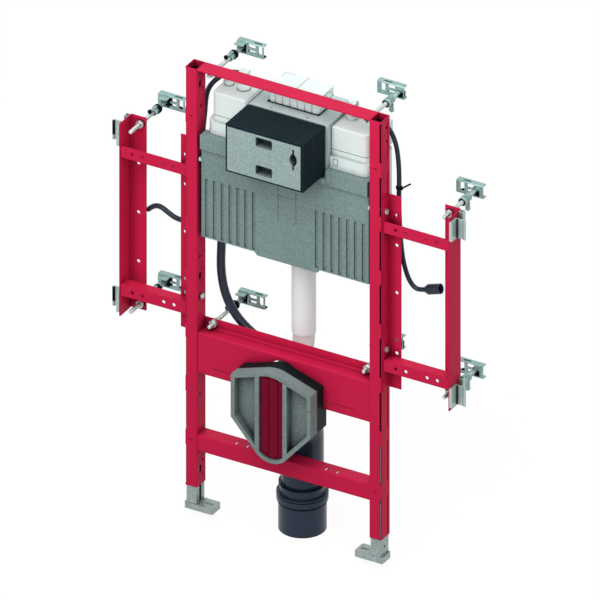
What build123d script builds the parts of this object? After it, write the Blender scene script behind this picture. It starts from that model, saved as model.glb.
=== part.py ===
import os
from math import pi, radians, tan

from build123d import *

# A wall-hung toilet frame with side frames for support handles, in millimetres.
# X runs along the wall, Y towards the wall and Z up.
# Zero is at mid width, on the front faces of the posts and at the soles of the feet.

# Main frame
frame_width = 500
frame_height = 1126
post_width = 30
post_depth = 40
post_wall = 2
post_foot = 60
wall_y = 180
sheet = 2.5

# Slots and holes of the posts
slot_length = 99.5
slot_pitch = 137
slot_count = 8
corner_slot = 4
back_slot_y = 30
back_slot_width = 3
# Holes of the inner face near its top: Y, depth below the top, width, height
inner_top_holes = [
    (15, 42, 11, 20),
    (24, 57, 6, 6),
    (19.5, 101, 8, 8),
]
# The others: Y, Z, width, height
inner_holes = [
    (15, 644, 8, 8),
    (24, 610, 6, 6),
    (15, 594, 11, 20),
    (24, 577, 6, 6),
    (14, 293, 6, 6),
    (25, 120, 6, 6),
    (15, 101, 11, 20),
    (25, 85, 6, 6),
]
# Each hole of the outer face: Y, depth below the top, diameter
outer_holes = [(25.4, 24, 7), (25.4, 59, 7), (16.6, 41, 4)]

# Crossbars
top_bar_sheet = 3
top_tab_width = 30
rod_edge_margin = 10
pan_bar_bottom = 351
pan_bar_top = 455
pan_bar_front = 3
pan_opening_play = 6
pan_bolt_spacing = 230
pan_bolt_narrow_spacing = 180
pan_bolt_z = 368
pan_bolt_diameter = 13
low_bar_bottom = 152.5
low_bar_top = 194
low_bar_front = 2
low_bar_back = 38
low_slot_places = (-127, -99, 102, 130)
low_slot_width = 3.5
low_slot_length = 14
low_slot_y = 15

# Telescopic legs
leg_clearance = 0.4
leg_wall = 2
leg_length = 320
leg_slot = 10
leg_hole_diameter = 7
foot_length = 72
foot_depth = 38
foot_height = 15
foot_sheet = 2.5
foot_slot_length = 22
foot_slot_width = 8
foot_outer_reach = 3
foot_corner = 4
leg_hole_height = 20

# Side frames
side_frame_width = 171.3
side_front = 5.5
side_rod_margin = 16
angle_sheet = 2.5
outer_leg_width = 40
outer_leg_depth = 53
inner_leg_width = 31
inner_leg_depth = 32
rail_front = 7
rail_height = 29
rail_depth = 27
upper_rail_bottom = 843
lower_rail_bottom = 490
rail_hole_diameter = 8.5
rail_hole_offsets = (33, 59, 113, 139)
outer_back_holes = (558, 683, 808)
outer_back_hole_inset = 20
inner_back_holes = (527, 561, 681, 802, 878)
inner_back_hole_inset = 20
angle_hole_diameter = 8.5
side_bolt_y = 18
side_bolt_places = (541, 892)
side_bolt_diameter = 8
side_bolt_head_size = 13
side_bolt_head_height = 5
side_bolt_collar_diameter = 14
side_bolt_collar_height = 4
bolt_hole_play = 0.5

# Clips on the side frames
clip_height = 49.5
clip_lower_bottom = 446.5
clip_upper_bottom = 871
clip_front = 4.5
clip_back = 29.5
clip_reach = 28.5
clip_sheet = 2.5
clip_spine = 7
clip_lip_width = 4
clip_lip_depth = 5
clip_tab_front = 46
clip_tab_back = 58
clip_tab_reach = 11
clip_tab_rise = 6

# Wall fixings
rod_diameter = 10
rod_play = 0.5
nut_size = 17
nut_height = 8
washer_diameter = 19
washer_height = 2
top_rod_inset = 50
top_rod_drop = 19
pan_rod_inset = 53
pan_rod_rise = 13.5
side_rod_inset = 26.7
side_rod_top = 912
side_rod_bottom = 453
frame_rod_front = 14
left_side_rod_front = 8
right_side_rod_front = 27
rod_wall_gap = 3
collar_front = 108
collar_length = 16
collar_outer_diameter = 20
ring_front = 131
ring_length = 9
ring_outer_diameter = 18
cone_front = 142
lever_length = 34
lever_width = 12
lever_sheet = 4
tongue_front = 92
tongue_rise = 10.5
tongue_disc_diameter = 11
bracket_width = 68
bracket_height = 33
bracket_depth = 15
bracket_sheet = 2.5
bracket_overhang = 13
side_bracket_overhang = 20
bracket_corner = 4
bracket_slot_place = 37
bracket_slot_length = 18
bracket_slot_width = 6
bracket_slot_spacing = 12
bracket_end_slot_place = 58
bracket_end_slot_length = 20
bracket_end_slot_width = 8

# Cistern
tank_play = 20
tank_front = 30
tank_back = 130
tank_bottom = 700
tank_top = 1062
tank_step_z = 990
tank_step = 9
tank_corner = 14
tank_edge = 4
tank_groove_z = 1004
tank_groove = 1.5
tank_band_reach = 8
tank_band_corner = 22
tank_band_seat = 0.3
tank_rim_reach = 3
tank_rim_height = 3
# Low bosses on the tank: X, diameter
tank_bosses = [(-182, 20), (-145, 30)]
tank_boss_y = 78
tank_boss_height = 4
tank_gland_x = -168
tank_gland_length = 20
tank_gland_width = 18
tank_gland_height = 28
tank_gland_y = 104
foam_play = 6.5
foam_front = 9
foam_lip_front = 2
foam_bottom = 699
foam_centre_bottom = 691
foam_centre_left = -72
foam_centre_right = 82
foam_centre_slant = 6
foam_top = 961
foam_step_z = 925
groove_first = 80
groove_pitch = 20
groove_count = 7
groove_top = 849
groove_width = 8
groove_depth = 3
groove_end = 4

# Service shaft in front of the cistern
cover_half_width = 93.6
cover_bottom = 950
cover_top = 1061
cover_front = -85
cover_thickness = 30
cover_play = 0.3
sleeve_wall = 1.4
sleeve_rib_height = 3.5
sleeve_rib_pitch = 10
sleeve_rib_count = 9
sleeve_rib_width = 7.5
cover_grip_width = 42
cover_grip_height = 24
cover_grip_depth = 22
cover_grip_corner = 4
cover_grip_places = (972, 1043)
cover_leaf_x = 75
cover_leaf_z = 1023
cover_leaf_width = 19
cover_leaf_height = 33
cover_stem_width = 4.5
cover_stem_height = 54
shaft_front = 17
shaft_half_width = 106
shaft_bottom = 940
shaft_top = 1068
shaft_opening_margin = 12
shaft_rim_width = 8
shaft_rim_height = 2.5

# Inlet on top of the cistern
inlet_half_width = 64
inlet_front = 47
inlet_back = 118
inlet_top = 1111
inlet_corner = 8
inlet_edge = 3
inlet_flute_count = 6
inlet_flute_radius = 1.5
inlet_seam_width = 3
inlet_seam_depth = 1
valve_x = 128
valve_y = 84
valve_base_diameter = 26
valve_base_height = 8
valve_diameter = 18
valve_top = 1108
valve_pipe_z = 1098
valve_pipe_diameter = 12
valve_nut_diameter = 17
valve_nut_length = 12
valve_head_diameter = 20
valve_head_length = 12
valve_mouth_diameter = 10
valve_outlet_z = 1084
valve_outlet_diameter = 16
valve_outlet_end = 141

# Flush and waste pipes
flush_y = 92
flush_sleeve_diameter = 55
flush_sleeve_bottom = 478
flush_pipe_diameter = 50
flush_pipe_wall = 2
flush_pipe_overlap = 60
flush_axis_z = 403
flush_bend_radius = 62
flush_seal_diameter = 72
flush_seal_back = 30
pipe_play = 0.2
drain_y = 86
drain_diameter = 95
drain_wall = 3
drain_axis_z = 268
drain_bend_radius = 52
drain_insertion = 40
socket_diameter = 108
socket_bottom = -18
socket_length = 118
neck_diameter = 103
collar_diameter = 116
collar_bottom = 57
collar_height = 19
neck_ring_height = 5
neck_ring_diameter = 105

# Foam cover over the connections
block_front = -55
block_back = -26
block_half_width = 102
block_shoulder_z = 411.5
block_gable_z = 438
block_gable_rise = 3
block_gable_half = 22
block_side_bottom = 304
block_waist_half = 42
block_waist_z = 235
block_tongue_bottom = 213
block_recess_depth = 20
block_rim = 10
plate_inset = 0.5
plate_seat = 0.3
plate_back = 16
band_half_width = 30
band_margin = 9
band_recess = 6
band_thickness = 8
band_rib_place = 12
band_rib_radius = 4.5
rib_half_width = 5.5

# Free conduits: each has its diameter and the points of its route
left_conduit_diameter = 12
left_conduit_points = [
    (-388, 70, 684),
    (-373, 70, 702),
    (-353, 70, 707),
    (-334, 70, 695),
    (-315, 70, 686),
    (-293, 70, 685),
    (-271, 70, 694),
    (-255, 70, 711),
    (-247, 70, 735),
    (-247, 70, 775),
    (-249, 70, 825),
    (-248, 70, 878),
    (-245, 70, 930),
    (-240, 70, 975),
    (-238, 70, 1008),
    (-234, 70, 1032),
    (-225, 70, 1052),
    (-213, 76, 1068),
    (-200, 91, 1077),
    (-186, 104, 1080),
    (-168, 104, 1080),
]
right_conduit_diameter = 11
right_conduit_points = [
    (141, 84, 1084),
    (168, 84, 1084),
    (195, 80, 1083),
    (220, 72, 1078),
    (242, 65, 1064),
    (254, 62, 1038),
    (259, 62, 1003),
    (261, 62, 960),
    (260, 62, 913),
    (261, 62, 866),
    (263, 62, 826),
    (266, 62, 786),
    (271, 62, 750),
    (279, 62, 722),
    (287, 62, 704),
    (297, 62, 692),
    (310, 62, 687),
    (325, 62, 692),
]
cuff_diameter = 24
cuff_length = 44
cuff_neck = 12
cuff_mouth_diameter = 18
cuff_mouth_depth = 14
lower_conduit_diameter = 20
lower_conduit_points = [
    (-194, 66, 700),
    (-194, 66, 652),
    (-192, 66, 602),
    (-186, 66, 556),
    (-173, 66, 516),
    (-152, 66, 482),
    (-124, 66, 456),
    (-92, 66, 440),
]

inner_face = frame_width / 2 - post_width
post_x = frame_width / 2 - post_width / 2
top_rod_x = frame_width / 2 - top_rod_inset
top_rod_z = frame_height - top_rod_drop
pan_rod_x = frame_width / 2 - pan_rod_inset
pan_rod_z = pan_bar_top + pan_rod_rise
outer_face = frame_width / 2 + side_frame_width
side_rod_x = outer_face - side_rod_inset
side_bottom = side_rod_bottom - side_rod_margin
side_top = side_rod_top + side_rod_margin
tank_half_width = inner_face - tank_play
foam_half_width = inner_face - foam_play
pieces = {}


def mirrored(piece):
    """The same piece on the other side of mid width."""
    return mirror(piece, about=Plane.YZ)


def cut_across(x, holes, depth):
    """Holes along +X from x, each given as Y, Z, width and height."""
    with BuildSketch(Plane.YZ.offset(x)) as outline:
        for y, z, width, height in holes:
            with Locations((y, z)):
                if height > width:
                    SlotOverall(height, width, rotation=90)
                else:
                    Circle(width / 2)
    extrude(outline.sketch, amount=depth, mode=Mode.SUBTRACT)


def cut_back(y, holes, depth):
    """Round holes along +Y from y, each given as X, Z and diameter."""
    with BuildSketch(Plane.XZ.offset(-y)) as outline:
        for x, z, diameter in holes:
            with Locations((x, z)):
                Circle(diameter / 2)
    extrude(outline.sketch, amount=-depth, mode=Mode.SUBTRACT)


def nut_and_washer(x, z, y, direction):
    """A nut with its washer against the face at y, on the side that direction gives."""
    with BuildSketch(Plane.XZ.offset(-y)) as washer:
        with Locations((x, z)):
            Circle(washer_diameter / 2)
    extrude(washer.sketch, amount=-direction * washer_height)
    with BuildSketch(Plane.XZ.offset(-(y + direction * washer_height))) as nut:
        with Locations((x, z)):
            RegularPolygon(nut_size / 2, 6, major_radius=False)
    extrude(nut.sketch, amount=-direction * nut_height)


# Posts: square tubes with rows of slots on the outer face
with BuildPart() as right_post:
    with BuildSketch(Plane.XY.offset(post_foot)):
        with Locations((post_x, post_depth / 2)):
            RectangleRounded(post_width, post_depth, post_wall)
            Rectangle(post_width - 2 * post_wall, post_depth - 2 * post_wall, mode=Mode.SUBTRACT)
    extrude(amount=frame_height - post_foot)
    cut_across(inner_face, inner_holes, post_wall)
    cut_across(inner_face, [(y, frame_height - drop, w, h) for y, drop, w, h in inner_top_holes], post_wall)
    bolt_hole = side_bolt_diameter + 2 * bolt_hole_play
    bolt_holes = [(side_bolt_y, z, bolt_hole, bolt_hole) for z in side_bolt_places]
    cut_across(inner_face, bolt_holes, post_width)
    outer_wall_x = frame_width / 2 - post_wall
    cut_across(outer_wall_x, [(y, frame_height - drop, d, d) for y, drop, d in outer_holes], post_wall)
    for i in range(slot_count):
        slot_z = frame_height - corner_slot - slot_length / 2 - i * slot_pitch
        with Locations((frame_width / 2, 0, slot_z)):
            Box(2 * corner_slot, 2 * corner_slot, slot_length, mode=Mode.SUBTRACT)
        with Locations((frame_width / 2, back_slot_y, slot_z)):
            Box(2 * post_wall, back_slot_width, slot_length, mode=Mode.SUBTRACT)
pieces["right_post"] = right_post.part
pieces["left_post"] = mirrored(right_post.part)

# Top crossbar: a flat bar with a tab at each end for the wall fixings
with BuildPart() as top_crossbar:
    with BuildSketch(Plane.XY.offset(frame_height - top_bar_sheet)):
        with Locations((0, post_depth / 2)):
            Rectangle(2 * inner_face, post_depth)
    extrude(amount=top_bar_sheet)
    tab_height = top_rod_drop - top_bar_sheet + rod_edge_margin
    with BuildSketch(Plane.XZ.offset(-post_depth)):
        tab_z = top_rod_z - rod_edge_margin + tab_height / 2
        with Locations((-top_rod_x, tab_z), (top_rod_x, tab_z)):
            Rectangle(top_tab_width, tab_height)
    extrude(amount=sheet)
    tab_holes = [(x, top_rod_z, rod_diameter + 2 * rod_play) for x in (-top_rod_x, top_rod_x)]
    cut_back(post_depth - sheet, tab_holes, sheet)
pieces["top_crossbar"] = top_crossbar.part

# Crossbar that carries the pan: a folded sheet with a lip standing up at its back
with BuildPart() as pan_crossbar:
    with BuildSketch(Plane.YZ.offset(-inner_face)):
        with BuildLine():
            FilletPolyline(
                (post_depth, pan_bar_bottom),
                (pan_bar_front, pan_bar_bottom),
                (pan_bar_front, pan_bar_top),
                (post_depth - sheet, pan_bar_top),
                (post_depth - sheet, pan_rod_z + rod_edge_margin),
                radius=sheet * 1.5,
            )
            offset(amount=sheet, side=Side.RIGHT)
        make_face()
    extrude(amount=2 * inner_face)
    cut_back(pan_bar_front, [(0, flush_axis_z, flush_seal_diameter + 2 * pan_opening_play)], 2 * sheet)
    bolts = []
    for spacing in (pan_bolt_spacing, pan_bolt_narrow_spacing):
        bolts += [(side * spacing / 2, pan_bolt_z, pan_bolt_diameter) for side in (-1, 1)]
    cut_back(pan_bar_front, bolts, 2 * sheet)
    lip_holes = [(x, pan_rod_z, rod_diameter + 2 * rod_play) for x in (-pan_rod_x, pan_rod_x)]
    cut_back(post_depth - sheet, lip_holes, sheet)
pieces["pan_crossbar"] = pan_crossbar.part

# Lower crossbar: a channel open towards the wall, with slots along Y in its top
with BuildPart() as lower_crossbar:
    with BuildSketch(Plane.YZ.offset(-inner_face)):
        with BuildLine():
            FilletPolyline(
                (low_bar_back, low_bar_bottom),
                (low_bar_front, low_bar_bottom),
                (low_bar_front, low_bar_top),
                (low_bar_back, low_bar_top),
                radius=sheet * 1.5,
            )
            offset(amount=sheet, side=Side.RIGHT)
        make_face()
    extrude(amount=2 * inner_face)
    for x in low_slot_places:
        with Locations((x, low_slot_y, low_bar_top)):
            Box(low_slot_width, low_slot_length, 4 * sheet, mode=Mode.SUBTRACT)
pieces["lower_crossbar"] = lower_crossbar.part

# Telescopic legs: a C-section that slides in the post, welded to a stamped foot plate
leg_width = post_width - 2 * post_wall - 2 * leg_clearance
leg_depth = post_depth - 2 * post_wall - 2 * leg_clearance
foot_x = frame_width / 2 + foot_outer_reach - foot_length / 2
with BuildPart() as right_leg:
    with BuildSketch(Plane.XY.offset(foot_height)):
        with Locations((post_x, post_depth / 2)):
            Rectangle(leg_width, leg_depth)
            Rectangle(leg_width - 2 * leg_wall, leg_depth - 2 * leg_wall, mode=Mode.SUBTRACT)
        with Locations((post_x - leg_width / 2, post_depth / 2)):
            Rectangle(3 * leg_wall, leg_slot, mode=Mode.SUBTRACT)
    extrude(amount=leg_length)
    with BuildSketch():
        with Locations((foot_x, post_depth / 2)):
            RectangleRounded(foot_length, foot_depth, foot_corner)
    extrude(amount=foot_height)
    with BuildSketch():
        with Locations((foot_x, post_depth / 2)):
            inner_length = foot_length - 2 * foot_sheet
            inner_depth = foot_depth - 2 * foot_sheet
            RectangleRounded(inner_length, inner_depth, foot_corner - foot_sheet)
    extrude(amount=foot_height - foot_sheet, mode=Mode.SUBTRACT)
    with BuildSketch():
        with Locations((foot_x - foot_length / 4, post_depth / 2)):
            SlotOverall(foot_slot_length, foot_slot_width)
    extrude(amount=foot_height, mode=Mode.SUBTRACT)
    hole_z = foot_height + leg_hole_height
    outer_wall = post_x + leg_width / 2 - leg_wall
    cut_across(outer_wall, [(post_depth / 2, hole_z, leg_hole_diameter, 0)], leg_wall)
pieces["right_leg"] = right_leg.part
pieces["left_leg"] = mirrored(right_leg.part)

# Side frames: an outer and an inner angle joined by two rails
with BuildPart() as right_outer_angle:
    with BuildSketch(Plane.XY.offset(side_bottom)):
        with BuildLine():
            FilletPolyline(
                (outer_face, side_front),
                (outer_face, side_front + outer_leg_depth),
                (outer_face - outer_leg_width, side_front + outer_leg_depth),
                radius=angle_sheet * 1.5,
            )
            offset(amount=angle_sheet, side=Side.LEFT)
        make_face()
    extrude(amount=side_top - side_bottom)
    outer_back = side_front + outer_leg_depth
    back_holes = [(outer_face - outer_back_hole_inset, z, angle_hole_diameter) for z in outer_back_holes]
    back_holes += [(side_rod_x, z, rod_diameter + 2 * rod_play) for z in (side_rod_bottom, side_rod_top)]
    cut_back(outer_back - angle_sheet, back_holes, angle_sheet)
pieces["right_outer_angle"] = right_outer_angle.part
pieces["left_outer_angle"] = mirrored(right_outer_angle.part)

with BuildPart() as right_inner_angle:
    with BuildSketch(Plane.XY.offset(side_bottom)):
        with BuildLine():
            FilletPolyline(
                (frame_width / 2, side_front),
                (frame_width / 2, side_front + inner_leg_depth),
                (frame_width / 2 + inner_leg_width, side_front + inner_leg_depth),
                radius=angle_sheet * 1.5,
            )
            offset(amount=angle_sheet, side=Side.RIGHT)
        make_face()
    extrude(amount=side_top - side_bottom)
    inner_back = side_front + inner_leg_depth
    hole_x = frame_width / 2 + inner_back_hole_inset
    back_holes = [(hole_x, z, angle_hole_diameter) for z in inner_back_holes]
    cut_back(inner_back - angle_sheet, back_holes, angle_sheet)
    cut_across(frame_width / 2, bolt_holes, angle_sheet)
pieces["right_inner_angle"] = right_inner_angle.part
pieces["left_inner_angle"] = mirrored(right_inner_angle.part)

rail_start = frame_width / 2 + angle_sheet
rail_end = outer_face - angle_sheet


def side_rail(bottom, flange_z):
    """A rail with its flange at flange_z, from the inner to the outer angle."""
    with BuildPart() as rail:
        with BuildSketch(Plane.XZ.offset(-rail_front)):
            with Locations(((rail_start + rail_end) / 2, bottom + rail_height / 2)):
                Rectangle(rail_end - rail_start, rail_height)
        extrude(amount=-angle_sheet)
        with BuildSketch(Plane.XY.offset(flange_z)):
            with Locations(((rail_start + rail_end) / 2, rail_front + rail_depth / 2)):
                Rectangle(rail_end - rail_start, rail_depth)
        extrude(amount=angle_sheet)
        mid_z = bottom + rail_height / 2
        holes = [(frame_width / 2 + place, mid_z, rail_hole_diameter) for place in rail_hole_offsets]
        cut_back(rail_front, holes, angle_sheet)
    return rail.part


pieces["right_upper_rail"] = side_rail(upper_rail_bottom, upper_rail_bottom)
pieces["right_lower_rail"] = side_rail(lower_rail_bottom, lower_rail_bottom + rail_height - angle_sheet)
for name in ("upper_rail", "lower_rail"):
    pieces[f"left_{name}"] = mirrored(pieces[f"right_{name}"])

# Clips on the outer angles: a spine with a flange and a lip, and a tab behind it
with BuildPart() as right_clips:
    for bottom in (clip_lower_bottom, clip_upper_bottom):
        with BuildSketch(Plane.XY.offset(bottom)):
            with BuildLine():
                Polyline(
                    (outer_face, clip_front),
                    (outer_face + clip_spine, clip_front),
                    (outer_face + clip_spine, clip_back - clip_sheet),
                    (outer_face + clip_reach - clip_lip_width, clip_back - clip_sheet),
                    (outer_face + clip_reach - clip_lip_width, clip_back - clip_lip_depth),
                    (outer_face + clip_reach, clip_back - clip_lip_depth),
                    (outer_face + clip_reach, clip_back),
                    (outer_face, clip_back),
                    close=True,
                )
            make_face()
        extrude(amount=clip_height)
        with BuildSketch(Plane.XY.offset(bottom + clip_tab_rise)):
            with Locations((outer_face + clip_tab_reach / 2, (clip_tab_front + clip_tab_back) / 2)):
                Rectangle(clip_tab_reach, clip_tab_back - clip_tab_front)
                Rectangle(
                    clip_tab_reach - 2 * clip_sheet,
                    clip_tab_back - clip_tab_front - 2 * clip_sheet,
                    mode=Mode.SUBTRACT,
                )
        extrude(amount=clip_height)
pieces["right_clips"] = right_clips.part
pieces["left_clips"] = mirrored(right_clips.part)

# Bolts that hold the side frames to the posts
with BuildPart() as side_frame_bolts:
    for side in (-1, 1):
        for z in side_bolt_places:
            with BuildSketch(Plane.YZ.offset(side * (inner_face - side_bolt_head_height))):
                with Locations((side_bolt_y, z)):
                    RegularPolygon(side_bolt_head_size / 2, 6, major_radius=False)
            extrude(amount=side * side_bolt_head_height)
            with BuildSketch(Plane.YZ.offset(side * inner_face)):
                with Locations((side_bolt_y, z)):
                    Circle(side_bolt_diameter / 2)
            extrude(amount=side * (post_width + angle_sheet))
            with BuildSketch(Plane.YZ.offset(side * (frame_width / 2 + angle_sheet))):
                with Locations((side_bolt_y, z)):
                    Circle(side_bolt_collar_diameter / 2)
            extrude(amount=side * side_bolt_collar_height)
pieces["side_frame_bolts"] = side_frame_bolts.part


def wall_bracket(rod_x, rod_z, overhang):
    """A stamped wall bracket, open towards the wall, that reaches inward from its rod."""
    inward = -1 if rod_x > 0 else 1
    outer_end = rod_x - inward * overhang
    centre_x = outer_end + inward * bracket_width / 2
    slot_x = outer_end + inward * bracket_slot_place
    with BuildPart() as bracket:
        with BuildSketch(Plane.XZ.offset(-wall_y)):
            with Locations((centre_x, rod_z)):
                RectangleRounded(bracket_width, bracket_height, bracket_corner)
        extrude(amount=bracket_depth)
        with BuildSketch(Plane.XZ.offset(-wall_y)):
            with Locations((centre_x, rod_z)):
                Rectangle(bracket_width + 2 * bracket_sheet, bracket_height - 2 * bracket_sheet)
        extrude(amount=bracket_depth - bracket_sheet, mode=Mode.SUBTRACT)
        with BuildSketch(Plane.XZ.offset(-(wall_y - bracket_depth))):
            with Locations((rod_x, rod_z)):
                Circle(rod_diameter / 2 + rod_play)
            with Locations((outer_end + inward * bracket_end_slot_place, rod_z)):
                SlotOverall(bracket_end_slot_length, bracket_end_slot_width, rotation=90)
            with Locations(*[(slot_x, rod_z + side * bracket_slot_spacing / 2) for side in (-1, 1)]):
                SlotOverall(bracket_slot_length, bracket_slot_width)
        extrude(amount=-bracket_sheet, mode=Mode.SUBTRACT)
        with BuildSketch(Plane.XY.offset(rod_z)):
            with Locations((slot_x, wall_y - (bracket_depth - bracket_sheet) / 2)):
                SlotOverall(bracket_slot_length, bracket_slot_width)
        extrude(amount=bracket_height, mode=Mode.SUBTRACT)
    return bracket.part


fixings = {
    "top_wall_bracket": (top_rod_x, top_rod_z, bracket_overhang),
    "pan_wall_bracket": (pan_rod_x, pan_rod_z, bracket_overhang),
    "side_upper_wall_bracket": (side_rod_x, side_rod_top, side_bracket_overhang),
    "side_lower_wall_bracket": (side_rod_x, side_rod_bottom, side_bracket_overhang),
}
for name, (x, z, overhang) in fixings.items():
    pieces[f"right_{name}"] = wall_bracket(x, z, overhang)
    pieces[f"left_{name}"] = wall_bracket(-x, z, overhang)


def wall_rods(places, carrier_front, carrier_back):
    """Rods along Y from places given as X, Z and front, each clamped to the frame and to its wall bracket.

    A lever hangs from the clamps on the right, and the left ones have a tongue with a round end.
    """
    cone_end = wall_y - bracket_depth
    with BuildPart() as rods:
        for x, z, front in places:
            with BuildSketch(Plane.XZ.offset(-front)):
                with Locations((x, z)):
                    Circle(rod_diameter / 2)
            extrude(amount=-(wall_y - rod_wall_gap - front))
            nut_and_washer(x, z, carrier_front, -1)
            nut_and_washer(x, z, carrier_back, 1)
            for start, length, diameter in (
                (collar_front, collar_length, collar_outer_diameter),
                (ring_front, ring_length, ring_outer_diameter),
            ):
                with BuildSketch(Plane.XZ.offset(-start)):
                    with Locations((x, z)):
                        Circle(diameter / 2)
                extrude(amount=-length)
            with BuildSketch(Plane.XZ.offset(-cone_front)):
                with Locations((x, z)):
                    Circle(rod_diameter / 2 + rod_play)
            with BuildSketch(Plane.XZ.offset(-cone_end)):
                with Locations((x, z)):
                    Circle(collar_outer_diameter / 2)
            loft()
            if x > 0:
                with BuildSketch(Plane.XZ.offset(-ring_front)):
                    with Locations((x, z - lever_length / 2)):
                        SlotOverall(lever_length + lever_width, lever_width, rotation=90)
                extrude(amount=-lever_sheet)
            else:
                tongue_end = ring_front + lever_sheet
                with BuildSketch(Plane.XY.offset(z + tongue_rise - lever_sheet / 2)):
                    with Locations((x, (tongue_front + tongue_end) / 2)):
                        Rectangle(lever_width, tongue_end - tongue_front)
                extrude(amount=lever_sheet)
                with BuildSketch(Plane.XZ.offset(-tongue_front)):
                    with Locations((x, z + tongue_rise)):
                        Circle(tongue_disc_diameter / 2)
                extrude(amount=-lever_sheet)
    return rods.part


frame_places = [(side * top_rod_x, top_rod_z, frame_rod_front) for side in (-1, 1)]
frame_places += [(side * pan_rod_x, pan_rod_z, frame_rod_front) for side in (-1, 1)]
side_places = []
for z in (side_rod_bottom, side_rod_top):
    side_places += [(-side_rod_x, z, left_side_rod_front), (side_rod_x, z, right_side_rod_front)]
pieces["frame_wall_rods"] = wall_rods(frame_places, post_depth - sheet, post_depth)
pieces["side_frame_wall_rods"] = wall_rods(side_places, outer_back - angle_sheet, outer_back)

# Cistern: the tank, with a step round its upper part, and its insulation
with BuildPart() as cistern_tank:
    with BuildSketch(Plane.XY.offset(tank_bottom)):
        with Locations((0, (tank_front + tank_back) / 2)):
            RectangleRounded(2 * (tank_half_width + tank_step), tank_back - tank_front, tank_corner)
    extrude(amount=tank_step_z - tank_bottom)
    with BuildSketch(Plane.XY.offset(tank_step_z)):
        with Locations((0, (tank_front + tank_back) / 2)):
            RectangleRounded(2 * tank_half_width, tank_back - tank_front, tank_corner)
    extrude(amount=tank_top - tank_step_z)
    fillet(cistern_tank.edges().group_by(Axis.Z)[-1], tank_edge)
    with BuildSketch(Plane.XY.offset(tank_groove_z)):
        with Locations((0, (tank_front + tank_back) / 2)):
            Rectangle(2 * (tank_half_width + tank_groove), tank_back - tank_front + 2 * tank_groove)
            RectangleRounded(
                2 * (tank_half_width - tank_groove),
                tank_back - tank_front - 2 * tank_groove,
                tank_corner - tank_groove,
                mode=Mode.SUBTRACT,
            )
    extrude(amount=tank_groove, mode=Mode.SUBTRACT)
    with BuildSketch(Plane.XY.offset(tank_top)):
        for x, diameter in tank_bosses:
            with Locations((x, tank_boss_y)):
                Circle(diameter / 2)
    extrude(amount=tank_boss_height)
    with BuildSketch(Plane.XY.offset(tank_top)):
        with Locations((tank_gland_x + tank_gland_length / 2, tank_gland_y)):
            Rectangle(tank_gland_length, tank_gland_width)
    extrude(amount=tank_gland_height)
    # The band above the foam stands out at the front, beside the service shaft
    band_bottom = foam_top + tank_band_seat
    band_parts = (
        (tank_band_reach, tank_step_z - band_bottom),
        (tank_band_reach + tank_rim_reach, tank_rim_height),
    )
    for reach, height in band_parts:
        with BuildSketch(Plane.XY.offset(band_bottom)):
            with Locations((0, (tank_front + tank_back - reach) / 2)):
                RectangleRounded(
                    2 * (tank_half_width + tank_step),
                    tank_back - tank_front + reach,
                    tank_band_corner,
                )
            with Locations((0, tank_front / 2)):
                Rectangle(2 * (shaft_half_width + cover_play), tank_front, mode=Mode.SUBTRACT)
        extrude(amount=height)
pieces["cistern_tank"] = cistern_tank.part

with BuildPart() as cistern_insulation:
    with BuildSketch(Plane.XZ.offset(-tank_front)):
        with BuildLine():
            Polyline(
                (-foam_half_width, foam_bottom),
                (foam_centre_left - foam_centre_slant, foam_bottom),
                (foam_centre_left, foam_centre_bottom),
                (foam_centre_right, foam_centre_bottom),
                (foam_centre_right + foam_centre_slant, foam_bottom),
                (foam_half_width, foam_bottom),
                (foam_half_width, foam_top),
                (-foam_half_width, foam_top),
                close=True,
            )
        make_face()
    extrude(amount=tank_front - foam_front)
    with BuildSketch(Plane.XZ.offset(-foam_front)):
        with Locations((0, (foam_step_z + foam_top) / 2)):
            Rectangle(2 * foam_half_width, foam_top - foam_step_z)
    extrude(amount=foam_front - foam_lip_front)
    with BuildSketch(Plane.XZ.offset(-foam_front)):
        for i in range(groove_count):
            for side in (-1, 1):
                groove_x = side * (groove_first + i * groove_pitch)
                with Locations((groove_x, (foam_bottom + groove_end + groove_top) / 2)):
                    Rectangle(groove_width, groove_top - foam_bottom - groove_end)
    extrude(amount=-groove_depth, mode=Mode.SUBTRACT)
    with BuildSketch(Plane.XZ.offset(-foam_lip_front)):
        with Locations((0, (shaft_bottom + foam_top) / 2)):
            Rectangle(2 * (shaft_half_width + cover_play), foam_top - shaft_bottom)
    extrude(amount=-(tank_front - foam_lip_front), mode=Mode.SUBTRACT)
pieces["cistern_insulation"] = cistern_insulation.part

# Service shaft: a frame on the tank, a ribbed sleeve and the foam cover that closes it
cover_mid_z = (cover_bottom + cover_top) / 2
cover_height = cover_top - cover_bottom
sleeve_inner_width = 2 * (cover_half_width + cover_play)
sleeve_inner_height = cover_height + 2 * cover_play
with BuildPart() as service_sleeve:
    with BuildSketch(Plane.XZ.offset(-cover_front)):
        with Locations((0, cover_mid_z)):
            Rectangle(sleeve_inner_width + 2 * sleeve_wall, sleeve_inner_height + 2 * sleeve_wall)
    extrude(amount=-(shaft_front - cover_front))
    for i in range(sleeve_rib_count + 1):
        rib_front = cover_front + sleeve_rib_pitch * (i + 1) - sleeve_rib_width
        with BuildSketch(Plane.XZ.offset(-rib_front)):
            with Locations((0, cover_mid_z)):
                Rectangle(
                    sleeve_inner_width + 2 * (sleeve_wall + sleeve_rib_height),
                    sleeve_inner_height + 2 * (sleeve_wall + sleeve_rib_height),
                )
        extrude(amount=-sleeve_rib_width)
    with BuildSketch(Plane.XZ.offset(-cover_front)):
        with Locations((0, cover_mid_z)):
            Rectangle(sleeve_inner_width, sleeve_inner_height)
    extrude(amount=-(tank_front - cover_front), mode=Mode.SUBTRACT)
pieces["service_sleeve"] = service_sleeve.part

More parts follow.
